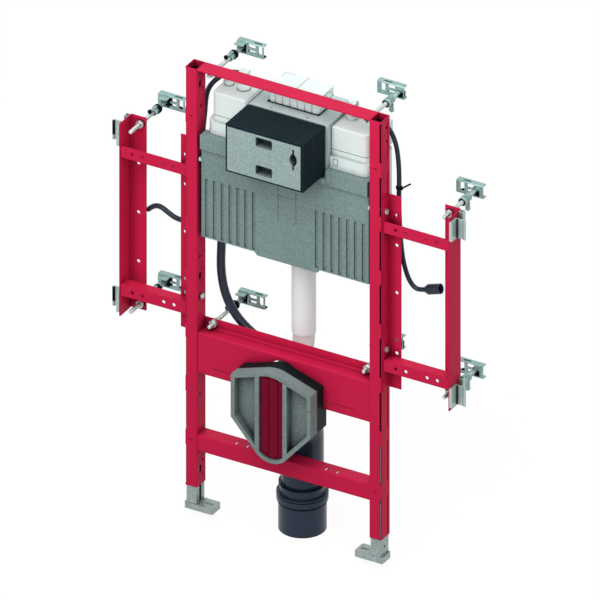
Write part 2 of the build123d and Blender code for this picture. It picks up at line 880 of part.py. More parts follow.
with BuildPart() as service_cover:
    with BuildSketch(Plane.XZ.offset(-cover_front)):
        with Locations((0, cover_mid_z)):
            Rectangle(2 * cover_half_width, cover_height)
    extrude(amount=-cover_thickness)
    with BuildSketch(Plane.XZ.offset(-cover_front)):
        with Locations(*[(0, z) for z in cover_grip_places]):
            RectangleRounded(cover_grip_width, cover_grip_height, cover_grip_corner)
    extrude(amount=-cover_grip_depth, mode=Mode.SUBTRACT)
    leaf_half = cover_leaf_width / 2
    leaf_end = cover_leaf_height / 2
    with BuildSketch(Plane.XZ.offset(-cover_front)):
        with BuildLine():
            ThreePointArc(
                (cover_leaf_x, cover_leaf_z - leaf_end),
                (cover_leaf_x - leaf_half, cover_leaf_z),
                (cover_leaf_x, cover_leaf_z + leaf_end),
            )
            ThreePointArc(
                (cover_leaf_x, cover_leaf_z + leaf_end),
                (cover_leaf_x + leaf_half, cover_leaf_z),
                (cover_leaf_x, cover_leaf_z - leaf_end),
            )
        make_face()
        with Locations((cover_leaf_x, cover_leaf_z)):
            SlotOverall(cover_stem_height, cover_stem_width, rotation=90)
    extrude(amount=-cover_grip_depth, mode=Mode.SUBTRACT)
pieces["service_cover"] = service_cover.part

with BuildPart() as shaft_frame:
    with BuildSketch(Plane.XZ.offset(-tank_front)):
        with Locations((0, (shaft_bottom + shaft_top) / 2)):
            Rectangle(2 * shaft_half_width, shaft_top - shaft_bottom)
            Rectangle(
                2 * (shaft_half_width - shaft_opening_margin),
                shaft_top - shaft_bottom - 2 * shaft_opening_margin,
                mode=Mode.SUBTRACT,
            )
    extrude(amount=tank_front - shaft_front)
    with BuildSketch(Plane.XY.offset(tank_top)):
        with Locations((0, (shaft_front + tank_back - tank_corner) / 2)):
            Rectangle(2 * shaft_half_width, tank_back - tank_corner - shaft_front)
    extrude(amount=shaft_top - tank_top)
    rim_x = shaft_half_width - shaft_rim_width / 2
    with BuildSketch(Plane.XY.offset(shaft_top)):
        with Locations(*[(side * rim_x, (shaft_front + tank_back - tank_corner) / 2) for side in (-1, 1)]):
            Rectangle(shaft_rim_width, tank_back - tank_corner - shaft_front)
    extrude(amount=shaft_rim_height)
pieces["shaft_frame"] = shaft_frame.part

# Inlet housing and the supply valve beside it
with BuildPart() as inlet_housing:
    with BuildSketch(Plane.XY.offset(shaft_top)):
        with Locations((0, (inlet_front + inlet_back) / 2)):
            RectangleRounded(2 * inlet_half_width, inlet_back - inlet_front, inlet_corner)
    extrude(amount=inlet_top - shaft_top)
    fillet(inlet_housing.edges().group_by(Axis.Z)[-1], inlet_edge)
    flute_pitch = 2 * (inlet_half_width - inlet_corner) / inlet_flute_count
    for i in range(inlet_flute_count):
        x = -inlet_half_width + inlet_corner + (i + 0.5) * flute_pitch
        with Locations((x, inlet_front, (shaft_top + inlet_top) / 2)):
            Cylinder(inlet_flute_radius, inlet_top - shaft_top, mode=Mode.SUBTRACT)
    with Locations((0, (inlet_front + inlet_back) / 2, inlet_top)):
        Box(inlet_seam_width, inlet_back - inlet_front, 2 * inlet_seam_depth, mode=Mode.SUBTRACT)
pieces["inlet_housing"] = inlet_housing.part


def run_across(start, end, z, diameter, mode=Mode.ADD):
    """A round run along X at the valve's Y, from start to end."""
    with BuildSketch(Plane.YZ.offset(start)) as section:
        with Locations((valve_y, z)):
            Circle(diameter / 2)
    extrude(section.sketch, amount=end - start, mode=mode)


with BuildPart() as inlet_valve:
    with BuildSketch(Plane.XY.offset(tank_top)):
        with Locations((valve_x, valve_y)):
            Circle(valve_base_diameter / 2)
    extrude(amount=valve_base_height)
    with BuildSketch(Plane.XY.offset(tank_top)):
        with Locations((valve_x, valve_y)):
            Circle(valve_diameter / 2)
    extrude(amount=valve_top - tank_top)
    run_across(inlet_half_width, valve_x, valve_pipe_z, valve_pipe_diameter)
    run_across(inlet_half_width, inlet_half_width + valve_nut_length, valve_pipe_z, valve_nut_diameter)
    run_across(valve_x, valve_x + valve_head_length, valve_pipe_z, valve_head_diameter)
    head_end = valve_x + valve_head_length
    mouth_start = valve_x + valve_head_length / 2
    run_across(mouth_start, head_end, valve_pipe_z, valve_mouth_diameter, Mode.SUBTRACT)
    run_across(valve_x, valve_outlet_end, valve_outlet_z, valve_outlet_diameter)
pieces["inlet_valve"] = inlet_valve.part

# Flush pipe: a white sleeve under the tank over a pipe that bends to the front
with BuildPart() as flush_sleeve:
    with BuildSketch(Plane.XY.offset(flush_sleeve_bottom)):
        with Locations((0, flush_y)):
            Circle(flush_sleeve_diameter / 2)
            Circle(flush_pipe_diameter / 2 + pipe_play, mode=Mode.SUBTRACT)
    extrude(amount=tank_bottom - flush_sleeve_bottom)
pieces["flush_sleeve"] = flush_sleeve.part


def bent_pipe(y, top, axis_z, bend_radius, front, diameter, wall):
    """A pipe down or up from top that bends to the front at axis_z."""
    turn = 1 if top > axis_z else -1
    with BuildPart() as pipe:
        with BuildLine() as route:
            FilletPolyline((0, y, top), (0, y, axis_z), (0, front, axis_z), radius=bend_radius)
        with BuildSketch(Plane(origin=(0, y, top), z_dir=(0, 0, -turn))):
            Circle(diameter / 2)
        sweep(path=route.line)
        with BuildSketch(Plane(origin=(0, y, top), z_dir=(0, 0, -turn))):
            Circle(diameter / 2 - wall)
        sweep(path=route.line, mode=Mode.SUBTRACT)
    return pipe.part


pieces["flush_pipe"] = bent_pipe(
    flush_y,
    flush_sleeve_bottom + flush_pipe_overlap,
    flush_axis_z,
    flush_bend_radius,
    pan_bar_front,
    flush_pipe_diameter,
    flush_pipe_wall,
)
socket_top = socket_bottom + socket_length
pieces["drain_bend"] = bent_pipe(
    drain_y,
    socket_top - drain_insertion,
    drain_axis_z,
    drain_bend_radius,
    plate_back + plate_seat,
    drain_diameter,
    drain_wall,
)

with BuildPart() as drain_socket:
    for bottom, top, diameter in (
        (socket_bottom, collar_bottom, socket_diameter),
        (collar_bottom, socket_top, neck_diameter),
        (collar_bottom, collar_bottom + collar_height, collar_diameter),
        (socket_top - neck_ring_height, socket_top, neck_ring_diameter),
    ):
        with BuildSketch(Plane.XY.offset(bottom)):
            with Locations((0, drain_y)):
                Circle(diameter / 2)
        extrude(amount=top - bottom)
    with BuildSketch(Plane.XY.offset(socket_top - drain_insertion)):
        with Locations((0, drain_y)):
            Circle(drain_diameter / 2 + pipe_play)
    extrude(amount=drain_insertion, mode=Mode.SUBTRACT)
    with BuildSketch(Plane.XY.offset(socket_bottom)):
        with Locations((0, drain_y)):
            Circle(drain_diameter / 2 - drain_wall)
    extrude(amount=socket_length - drain_insertion, mode=Mode.SUBTRACT)
pieces["drain_socket"] = drain_socket.part


def block_outline(inset):
    """The outline of the connection cover, moved in by inset."""
    with BuildSketch() as outline:
        with BuildLine():
            Polyline(
                (-block_waist_half, block_waist_z),
                (-block_half_width, block_side_bottom),
                (-block_half_width, block_shoulder_z),
                (-block_gable_half, block_gable_z),
            )
            ThreePointArc(
                (-block_gable_half, block_gable_z),
                (0, block_gable_z + block_gable_rise),
                (block_gable_half, block_gable_z),
            )
            Polyline(
                (block_gable_half, block_gable_z),
                (block_half_width, block_shoulder_z),
                (block_half_width, block_side_bottom),
                (block_waist_half, block_waist_z),
            )
            ThreePointArc(
                (block_waist_half, block_waist_z),
                (0, block_tongue_bottom),
                (-block_waist_half, block_waist_z),
            )
        make_face()
        if inset:
            offset(amount=-inset, kind=Kind.INTERSECTION, mode=Mode.REPLACE)
    return outline.sketch


def block_zone(inset, low_x, high_x):
    """The part of the inset outline between two values of X."""
    tall = block_gable_z - block_tongue_bottom
    with BuildSketch() as zone:
        add(block_outline(inset))
        with Locations(((low_x + high_x) / 2, (block_gable_z + block_tongue_bottom) / 2)):
            Rectangle(high_x - low_x, 2 * tall, mode=Mode.INTERSECT)
    return zone.sketch


# Foam cover over the two bends, the plate behind it and the ribbed band in its middle
side_start = band_half_width + 2 * rib_half_width
side_end = block_half_width - block_rim
with BuildPart() as connection_cover:
    with BuildSketch(Plane.XZ.offset(-block_back)):
        add(block_outline(0))
    extrude(amount=block_back - block_front)
    with BuildSketch(Plane.XZ.offset(-block_front)):
        add(block_zone(band_margin, -band_half_width, band_half_width))
    extrude(amount=-(band_thickness + band_recess), mode=Mode.SUBTRACT)
    with BuildSketch(Plane.XZ.offset(-block_front)):
        add(block_zone(block_rim, side_start, side_end))
        add(block_zone(block_rim, -side_end, -side_start))
    extrude(amount=-block_recess_depth, mode=Mode.SUBTRACT)
pieces["connection_cover"] = connection_cover.part

band_front = block_front + band_recess
band_edge = band_half_width - cover_play
with BuildPart() as cover_band:
    with BuildSketch(Plane.XZ.offset(-band_front)):
        add(block_zone(band_margin + cover_play, -band_edge, band_edge))
    extrude(amount=-band_thickness)
    for side in (-1, 1):
        with BuildSketch(Plane.XY.offset(block_waist_z)):
            with Locations((side * band_rib_place, band_front)):
                Circle(band_rib_radius)
        extrude(amount=block_gable_z - band_margin - band_rib_radius - block_waist_z)
pieces["cover_band"] = cover_band.part

with BuildPart() as connection_plate:
    with BuildSketch(Plane.XZ.offset(-(pan_bar_front - plate_seat))):
        add(block_outline(plate_inset))
    extrude(amount=pan_bar_front - plate_seat - block_back)
    with BuildSketch(Plane.XZ.offset(-(pan_bar_front - plate_seat))):
        add(block_outline(plate_inset))
        with Locations((0, pan_bar_bottom - plate_seat)):
            low = (Align.CENTER, Align.MIN)
            Rectangle(2 * block_half_width, block_gable_z, align=low, mode=Mode.SUBTRACT)
    extrude(amount=-(plate_back - pan_bar_front + plate_seat))
    with BuildSketch(Plane.XZ.offset(-(pan_bar_front - plate_seat))):
        with Locations((0, flush_axis_z)):
            Circle(flush_seal_diameter / 2)
            Circle(flush_pipe_diameter / 2 + pipe_play, mode=Mode.SUBTRACT)
    extrude(amount=-(flush_seal_back - pan_bar_front + plate_seat))
pieces["connection_plate"] = connection_plate.part


def conduit(points, diameter):
    """A tube of straight runs joined by arcs as large as the runs allow."""
    places = [Vector(*p) for p in points]
    radii = []
    for before, here, after in zip(places, places[1:], places[2:]):
        turn = (here - before).get_angle(after - here)
        shorter = min((here - before).length, (after - here).length)
        radii.append(0.45 * shorter / tan(radians(turn / 2)))
    print("radii", [round(r) for r in radii])
    with BuildPart() as tube:
        with BuildLine() as route:
            FilletPolyline(*points, radius=radii)
        with BuildSketch(Plane(origin=places[0], z_dir=places[1] - places[0])):
            Circle(diameter / 2)
        sweep(path=route.line)
    length = sum(edge.length for edge in route.edges())
    expected = length * pi * diameter**2 / 4
    print("volume against section times length", round(tube.part.volume / expected, 4))
    return tube.part


pieces["left_conduit"] = conduit(left_conduit_points, left_conduit_diameter)
pieces["right_conduit"] = conduit(right_conduit_points, right_conduit_diameter)
pieces["lower_conduit"] = conduit(lower_conduit_points, lower_conduit_diameter)

# Rubber cuff on the free end of the right conduit
cuff_start = Vector(*right_conduit_points[-1])
cuff_direction = cuff_start - Vector(*right_conduit_points[-2])
cuff_plane = Plane(origin=cuff_start, x_dir=(0, 1, 0), z_dir=cuff_direction)
with BuildPart() as right_conduit_cuff:
    with BuildSketch(cuff_plane):
        Circle(right_conduit_diameter / 2)
    with BuildSketch(cuff_plane.offset(cuff_neck)):
        Circle(cuff_diameter / 2)
    loft()
    with BuildSketch(cuff_plane.offset(cuff_neck)):
        Circle(cuff_diameter / 2)
    extrude(amount=cuff_length - cuff_neck)
    with BuildSketch(cuff_plane.offset(cuff_length)):
        Circle(cuff_mouth_diameter / 2)
    extrude(amount=-cuff_mouth_depth, mode=Mode.SUBTRACT)
pieces["right_conduit_cuff"] = right_conduit_cuff.part

# The origin is on the wall face of the upper flange of the left top bracket
datum_x = -top_rod_x + bracket_width / 2 - bracket_overhang
datum_z = top_rod_z + bracket_height / 2 - bracket_sheet / 2
to_datum = Location((-datum_x, -wall_y, -datum_z))

os.makedirs("parts", exist_ok=True)
for name, piece in pieces.items():
    placed = piece.moved(to_datum)
    placed.label = name
    export_step(placed, f"parts/{name}.step")
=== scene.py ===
import math

import bmesh
import bpy
from mathutils import Matrix, Vector


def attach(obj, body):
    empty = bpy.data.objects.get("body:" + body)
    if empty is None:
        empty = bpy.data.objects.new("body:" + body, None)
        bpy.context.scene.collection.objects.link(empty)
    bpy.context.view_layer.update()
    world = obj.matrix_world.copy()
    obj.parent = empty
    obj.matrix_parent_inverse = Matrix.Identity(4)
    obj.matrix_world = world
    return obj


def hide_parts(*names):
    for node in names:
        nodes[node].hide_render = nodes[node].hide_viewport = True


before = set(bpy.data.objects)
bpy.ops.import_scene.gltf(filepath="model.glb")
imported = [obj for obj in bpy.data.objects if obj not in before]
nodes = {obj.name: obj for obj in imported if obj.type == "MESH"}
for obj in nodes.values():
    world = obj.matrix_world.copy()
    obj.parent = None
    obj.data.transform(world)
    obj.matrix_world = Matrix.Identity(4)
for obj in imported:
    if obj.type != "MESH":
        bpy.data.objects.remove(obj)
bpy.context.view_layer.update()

origin = (-179, 180, 1122.25)  # the frame's origin in the drawing, on the left top bracket's wall face


# the drawing's millimetres, from mid width, post fronts and soles, in the frame's metres
def at(x, y, z):
    return Vector(((x - origin[0]) / 1000, (y - origin[1]) / 1000, (z - origin[2]) / 1000))


# camera, looking down 30 degrees from 30 degrees to the right
camera = {"middle": (43.4, 0, 614.9), "back": (0.4330, -0.75, 0.5), "away": 4, "width": 1.326, "far": 20}
lens = bpy.data.cameras.new("camera")
lens.type = "ORTHO"
lens.ortho_scale = camera["width"]
lens.clip_end = camera["far"]
viewer = bpy.data.objects.new("camera", lens)
back = Vector(camera["back"]).normalized()
viewer.location = at(*camera["middle"]) + back * camera["away"]
viewer.rotation_euler = (-back).to_track_quat("-Z", "Y").to_euler()
bpy.context.collection.objects.link(viewer)
bpy.context.scene.camera = viewer
print("camera set")


# materials
def addNode(tree, kind, inputs=None, **settings):
    node = tree.nodes.new(kind)
    for key, value in settings.items():
        setattr(node, key, value)
    for key, value in (inputs or {}).items():
        if isinstance(value, bpy.types.NodeSocket):
            tree.links.new(value, node.inputs[key])
        else:
            node.inputs[key].default_value = value
    return node


def addRamp(tree, factor, stops):
    ramp = addNode(tree, "ShaderNodeValToRGB", {"Fac": factor})
    elements = ramp.color_ramp.elements
    while len(elements) < len(stops):
        elements.new(0.5)
    for element, (place, colour) in zip(elements, stops):
        element.position = place
        element.color = (*colour, 1)
    return ramp.outputs["Color"]


def mixColours(tree, first, second, way):
    mixed = addNode(tree, "ShaderNodeMix", {0: 1, 6: first, 7: second}, data_type="RGBA", blend_type=way)
    return mixed.outputs[2]


def shaded(colour, amount):
    return tuple(min(1, part * amount) for part in colour)


weak, strong = 0.3, 0.7  # the values between which a noise mostly runs


# cells, as on zinc plate, or fine specks: what tints the surface and what raises it
def addGrain(tree, place, look):
    if look.get("cells"):
        cell = addNode(tree, "ShaderNodeTexVoronoi", {"Vector": place, "Scale": look["grainScale"]})
        parts = addNode(tree, "ShaderNodeSeparateColor", {"Color": cell.outputs["Color"]})
        return parts.outputs["Red"], cell.outputs["Distance"]
    speck = addNode(tree, "ShaderNodeTexNoise", {"Vector": place, "Scale": look["grainScale"], "Detail": 4,
                                                 "Roughness": 0.6})
    return speck.outputs["Fac"], speck.outputs["Fac"]


# a moulded, painted or plated finish: clouds of tone, fine grain in colour, gloss and bump, and painted shade
# darkening its creases and corners
def makeFinish(name, look):
    material = bpy.data.materials.new(name)
    material.use_nodes = True
    tree = material.node_tree
    shader = tree.nodes["Principled BSDF"]
    place = tree.nodes.new("ShaderNodeTexCoord").outputs["Object"]
    cloud = addNode(tree, "ShaderNodeTexNoise", {"Vector": place, "Scale": look["cloudScale"], "Detail": 3})
    colour, tone = look["colour"], look["tone"]
    tones = addRamp(tree, cloud.outputs["Fac"],
                    [(weak, shaded(colour, 1 - tone)), (strong, shaded(colour, 1 + tone))])
    grain, grainHeight = addGrain(tree, place, look)
    low, high = (1 - look["grainTone"]) / 2, (1 + look["grainTone"]) / 2
    grey = addRamp(tree, grain, [(weak, (low,) * 3), (strong, (high,) * 3)])
    halved = mixColours(tree, tones, grey, "MULTIPLY")  # the greys are halved, because a ramp ends at 1
    grained = mixColours(tree, halved, halved, "ADD")
    # painted shade: the base colour is darkened where other surfaces lie near, in corners, creases, recesses
    # and gaps
    crease = addNode(tree, "ShaderNodeAmbientOcclusion", {"Distance": look["crease"]}, samples=6)
    paintedCreaseShade = addRamp(tree, crease.outputs["AO"], [(0.1, (look["creaseShadeTone"],) * 3), (0.85, (1, 1, 1))])
    tree.links.new(mixColours(tree, grained, paintedCreaseShade, "MULTIPLY"), shader.inputs["Base Color"])
    rough = addNode(tree, "ShaderNodeMapRange", {"Value": grain, "From Min": weak, "From Max": strong,
                                                 "To Min": look["rough"] - look["roughPlay"],
                                                 "To Max": look["rough"] + look["roughPlay"]})
    tree.links.new(rough.outputs["Result"], shader.inputs["Roughness"])
    soft = addNode(tree, "ShaderNodeBevel", {"Radius": look["edge"]}, samples=3)
    bump = addNode(tree, "ShaderNodeBump", {"Strength": look["bump"], "Distance": look["bumpDepth"],
                                            "Height": grainHeight, "Normal": soft.outputs["Normal"]})
    tree.links.new(bump.outputs["Normal"], shader.inputs["Normal"])
    shader.inputs["Metallic"].default_value = look.get("metal", 0)
    shader.inputs["Specular IOR Level"].default_value = look.get("gloss", 0.5)
    shader.inputs["Coat Weight"].default_value = look.get("coat", 0)
    shader.inputs["Coat Roughness"].default_value = 0.3
    return material


# in each look, crease is how far the painted shade in corners and creases reaches, and the tone after it how
# dark that shade gets
looks = {
    "powderCoat": {
        "colour": (0.64, 0.0155, 0.072), "tone": 0.03, "cloudScale": 6, "grainScale": 700,
        "grainTone": 0.04, "rough": 0.42, "roughPlay": 0.06, "bump": 0.25, "bumpDepth": 0.0003,
        "edge": 0.0016, "gloss": 0.05, "coat": 0.02, "crease": 0.03, "creaseShadeTone": 0.06,
    },
    # a dark red that paints the shade in the pressed marks and creases
    "pressedShadeRed": {
        "colour": (0.07, 0.003, 0.012), "tone": 0.03, "cloudScale": 6, "grainScale": 700,
        "grainTone": 0.04, "rough": 0.6, "roughPlay": 0.06, "bump": 0.25, "bumpDepth": 0.0003,
        "edge": 0.0005, "gloss": 0.1, "crease": 0.01, "creaseShadeTone": 0.4,
    },
    "zincPlate": {
        "colour": (0.31, 0.49, 0.47), "tone": 0.08, "cloudScale": 30, "grainScale": 180,
        "grainTone": 0.07, "cells": True, "rough": 0.38, "roughPlay": 0.05, "bump": 0.03,
        "bumpDepth": 0.0002, "edge": 0.0006, "metal": 0.5, "gloss": 0.5, "crease": 0.02,
        "creaseShadeTone": 0.0,
    },
    "legSteel": {
        "colour": (0.34, 0.41, 0.4), "tone": 0.08, "cloudScale": 14, "grainScale": 220,
        "grainTone": 0.12, "cells": True, "rough": 0.4, "roughPlay": 0.1, "bump": 0.05,
        "bumpDepth": 0.0002, "edge": 0.0008, "metal": 0.5, "gloss": 0.5, "crease": 0.016,
        "creaseShadeTone": 0.15,
    },
    "rodSteel": {
        "colour": (0.6, 0.67, 0.66), "tone": 0.06, "cloudScale": 40, "grainScale": 400,
        "grainTone": 0.05, "rough": 0.3, "roughPlay": 0.08, "bump": 0.1, "bumpDepth": 0.0002,
        "edge": 0.0004, "metal": 0.7, "crease": 0.008, "creaseShadeTone": 0.1,
    },
    "clipZinc": {
        "colour": (0.46, 0.57, 0.55), "tone": 0.07, "cloudScale": 30, "grainScale": 500,
        "grainTone": 0.06, "rough": 0.38, "roughPlay": 0.08, "bump": 0.08, "bumpDepth": 0.0002,
        "edge": 0.0006, "metal": 0.5, "crease": 0.02, "creaseShadeTone": 0.08,
    },
    "greyFoam": {
        "colour": (0.222, 0.312, 0.307), "tone": 0.06, "cloudScale": 9, "grainScale": 300,
        "grainTone": 0.26, "rough": 0.85, "roughPlay": 0.08, "bump": 0.6, "bumpDepth": 0.0008,
        "edge": 0.0012, "gloss": 0.12, "crease": 0.012, "creaseShadeTone": 0.12,
    },
    "paleFoam": {
        "colour": (0.225, 0.285, 0.28), "tone": 0.05, "cloudScale": 9, "grainScale": 300,
        "grainTone": 0.28, "rough": 0.85, "roughPlay": 0.08, "bump": 0.6, "bumpDepth": 0.0008,
        "edge": 0.0012, "gloss": 0.12, "crease": 0.05, "creaseShadeTone": 0.02,
    },
    "coverFoam": {
        "colour": (0.315, 0.415, 0.4), "tone": 0.05, "cloudScale": 9, "grainScale": 300,
        "grainTone": 0.24, "rough": 0.85, "roughPlay": 0.08, "bump": 0.6, "bumpDepth": 0.0008,
        "edge": 0.0012, "gloss": 0.12, "crease": 0.03, "creaseShadeTone": 0.05,
    },
    "tankWhite": {
        "colour": (0.83, 0.93, 0.915), "tone": 0.02, "cloudScale": 5, "grainScale": 600,
        "grainTone": 0.02, "rough": 0.4, "roughPlay": 0.05, "bump": 0.1, "bumpDepth": 0.0003,
        "edge": 0.0015, "gloss": 0.3, "crease": 0.02, "creaseShadeTone": 0.05,
    },
    "pipeWhite": {
        "colour": (0.94, 0.985, 0.975), "tone": 0.02, "cloudScale": 8, "grainScale": 700,
        "grainTone": 0.015, "rough": 0.32, "roughPlay": 0.04, "bump": 0.06, "bumpDepth": 0.0002,
        "edge": 0.001, "gloss": 0.4, "crease": 0.02, "creaseShadeTone": 0.2,
    },
    "shaftGrey": {
        "colour": (0.53, 0.66, 0.65), "tone": 0.03, "cloudScale": 6, "grainScale": 600,
        "grainTone": 0.03, "rough": 0.5, "roughPlay": 0.05, "bump": 0.1, "bumpDepth": 0.0003,
        "edge": 0.0012, "gloss": 0.25, "crease": 0.02, "creaseShadeTone": 0.1,
    },
    "lineGrey": {
        "colour": (0.09, 0.12, 0.12), "tone": 0.06, "cloudScale": 20, "grainScale": 900,
        "grainTone": 0.06, "rough": 0.7, "roughPlay": 0.06, "bump": 0.05, "bumpDepth": 0.0002,
        "edge": 0.0002, "gloss": 0.1, "crease": 0.003, "creaseShadeTone": 0.7,
    },
    # dark red for the painted shade inside the posts' open tops
    "darkRed": {
        "colour": (0.018, 0.002, 0.006), "tone": 0.1, "cloudScale": 20, "grainScale": 700,
        "grainTone": 0.08, "rough": 0.7, "roughPlay": 0.06, "bump": 0.1, "bumpDepth": 0.0003,
        "edge": 0.0005, "gloss": 0.05, "crease": 0.01, "creaseShadeTone": 0.5,
    },
    # a dark foam: for the dark lines on the foam, and for the painted shade in the cover's grips
    "foamShade": {
        "colour": (0.035, 0.055, 0.055), "tone": 0.1, "cloudScale": 9, "grainScale": 300,
        "grainTone": 0.3, "rough": 0.9, "roughPlay": 0.06, "bump": 0.5, "bumpDepth": 0.0006,
        "edge": 0.001, "gloss": 0.05, "crease": 0.01, "creaseShadeTone": 0.4,
    },
    "sleeveBlack": {
        "colour": (0.011, 0.024, 0.03), "tone": 0.1, "cloudScale": 12, "grainScale": 600,
        "grainTone": 0.12, "rough": 0.7, "roughPlay": 0.08, "bump": 0.15, "bumpDepth": 0.0003,
        "edge": 0.0002, "gloss": 0.06, "crease": 0.003, "creaseShadeTone": 0.8,
    },
    "plateBlack": {
        "colour": (0.005, 0.012, 0.014), "tone": 0.1, "cloudScale": 12, "grainScale": 600,
        "grainTone": 0.12, "rough": 0.5, "roughPlay": 0.08, "bump": 0.15, "bumpDepth": 0.0003,
        "edge": 0.001, "gloss": 0.1, "crease": 0.01, "creaseShadeTone": 0.5,
    },
    # black for the rubber parts, and for the blocks that paint the shade in gaps and inside the brackets
    "gapBlack": {
        "colour": (0.004, 0.008, 0.01), "tone": 0.1, "cloudScale": 12, "grainScale": 900,
        "grainTone": 0.1, "rough": 0.8, "roughPlay": 0.08, "bump": 0.1, "bumpDepth": 0.0002,
        "edge": 0.0003, "gloss": 0.03, "crease": 0.004, "creaseShadeTone": 0.6,
    },
    "pipeSlate": {
        "colour": (0.016, 0.031, 0.062), "tone": 0.08, "cloudScale": 10, "grainScale": 800,
        "grainTone": 0.05, "rough": 0.28, "roughPlay": 0.04, "bump": 0.06, "bumpDepth": 0.0002,
        "edge": 0.001, "gloss": 0.26, "crease": 0.012, "creaseShadeTone": 0.3,
    },
    "hoseSlate": {
        "colour": (0.013, 0.021, 0.04), "tone": 0.08, "cloudScale": 30, "grainScale": 900,
        "grainTone": 0.06, "rough": 0.3, "roughPlay": 0.05, "bump": 0.05, "bumpDepth": 0.0002,
        "edge": 0.0005, "gloss": 0.3, "crease": 0.006, "creaseShadeTone": 0.5,
    },
    "bandRed": {
        "colour": (0.21, 0.005, 0.026), "tone": 0.08, "cloudScale": 16, "grainScale": 420,
        "grainTone": 0.15, "rough": 0.5, "roughPlay": 0.08, "bump": 0.3, "bumpDepth": 0.0005,
        "edge": 0.0012, "gloss": 0.05, "crease": 0.008, "creaseShadeTone": 0.3,
    },
}
finishes = {name: makeFinish(name, look) for name, look in looks.items()}
print("materials made")

# which finish each part of the frame has
dressed = {
    "powderCoat": [
        "left_post", "right_post", "top_crossbar", "pan_crossbar", "lower_crossbar", "left_outer_angle",
        "right_outer_angle", "left_inner_angle", "right_inner_angle", "left_upper_rail",
        "left_lower_rail", "right_upper_rail", "right_lower_rail",
    ],
    "zincPlate": [
        "left_top_wall_bracket", "right_top_wall_bracket", "left_pan_wall_bracket",
        "right_pan_wall_bracket", "left_side_upper_wall_bracket", "right_side_upper_wall_bracket",
        "left_side_lower_wall_bracket", "right_side_lower_wall_bracket",
    ],
    "legSteel": ["left_leg", "right_leg"],
    "rodSteel": ["frame_wall_rods", "side_frame_wall_rods", "side_frame_bolts"],
    "clipZinc": ["left_clips", "right_clips"],
    "greyFoam": ["cistern_insulation"],
    "paleFoam": ["connection_cover"],
    "coverFoam": ["service_cover"],
    "tankWhite": ["cistern_tank", "inlet_housing", "inlet_valve"],
    "shaftGrey": ["shaft_frame"],
    "pipeWhite": ["flush_sleeve", "flush_pipe"],
    "sleeveBlack": ["service_sleeve"],
    "plateBlack": ["connection_plate"],
    "pipeSlate": ["drain_bend", "drain_socket"],
    "hoseSlate": ["right_conduit_cuff"],
    "bandRed": ["cover_band"],
}
for finish, names in dressed.items():
    for name in names:
        mesh = nodes[name].data
        mesh.materials.clear()
        mesh.materials.append(finishes[finish])


# tools for the pieces that the scene adds, all in the drawing's millimetres
def edgesOf(verts):
    return list(dict.fromkeys(edge for vert in verts for edge in vert.link_edges))


def softenEdges(form, edges, soft, segments):
    bmesh.ops.bevel(form, geom=edges, offset=soft / 1000, offset_type="OFFSET", segments=segments,
                    affect="EDGES", profile=0.5, material=-1)


def addBlock(form, low, high, soft=0.0, turn=None):
    low, high = at(*low), at(*high)
    size = Matrix.Diagonal((*(high - low), 1))
    place = Matrix.Translation((low + high) / 2) @ (turn or Matrix.Identity(4)) @ size
    made = bmesh.ops.create_cube(form, size=1, matrix=place)["verts"]
    if soft:
        softenEdges(form, edgesOf(made), soft, 2)


# a block from start to end across the wall, counted from x the way that inward points
def addBar(form, x, z, inward, bar, soft):
    start, end, front, behind, foot, top = bar
    left, right = sorted((x + inward * start, x + inward * end))
    addBlock(form, (left, front, z + foot), (right, behind, z + top), soft=soft)


# a round or many-sided bar about its middle; it stands up where nothing turns it
def addRound(form, middle, length, radius, tip=None, turn=None, sides=32, capped=True):
    place = Matrix.Translation(at(*middle)) @ (turn or Matrix.Identity(4))
    tip = radius if tip is None else tip
    return bmesh.ops.create_cone(form, cap_ends=capped, segments=sides, radius1=radius / 1000,
                                 radius2=tip / 1000, depth=length / 1000, matrix=place)["verts"]


def addHexagon(form, x, z, front, height, across, soft=0.8):
    made = addRound(form, (x, front + height / 2, z), height, across / math.sqrt(3),
                    turn=Matrix.Rotation(math.pi / 2, 4, "X"), sides=6)
    softenEdges(form, edgesOf(made), soft, 1)


# copies of a small form, each moved by its own step
def addCopies(form, part, moves):
    shape = bpy.data.meshes.new("part")
    part.to_mesh(shape)
    part.free()
    for move in moves:
        done = len(form.verts)
        form.from_mesh(shape)
        form.verts.ensure_lookup_table()
        bmesh.ops.translate(form, verts=form.verts[done:], vec=move)
    bpy.data.meshes.remove(shape)


# an open line of points as edges of a form
def addLine(form, points):
    verts = [form.verts.new(at(*point)) for point in points]
    return verts, [form.edges.new(pair) for pair in zip(verts, verts[1:])]


# a turned form round a line along Y, from radius and depth pairs; one that starts at 0 has no bore
def addTurned(form, x, z, profile, steps=28):
    part = bmesh.new()
    verts, edges = addLine(part, [(x + radius, y, z) for radius, y in profile])
    if profile[0][0]:
        edges.append(part.edges.new((verts[-1], verts[0])))
    bmesh.ops.spin(part, geom=verts + edges, cent=at(x, 0, z), axis=(0, 1, 0), angle=2 * math.pi,
                   steps=steps, use_merge=True, use_duplicate=False)
    addCopies(form, part, [(0, 0, 0)])


# sections of rings for addTurned: square, and with chamfers on the outer edges
def squareRing(inner, outer, start, end):
    return [(inner, start), (outer, start), (outer, end), (inner, end)]


def chamferedRing(inner, outer, start, end, chamfer):
    return [(inner, start), (outer - chamfer, start), (outer, start + chamfer), (outer, end - chamfer),
            (outer - chamfer, end), (inner, end)]


# edges drawn out into a sheet
def pullEdges(form, edges, step):
    grown = bmesh.ops.extrude_edge_only(form, edges=edges)["geom"]
    verts = [part for part in grown if isinstance(part, bmesh.types.BMVert)]
    bmesh.ops.translate(form, verts=verts, vec=step)


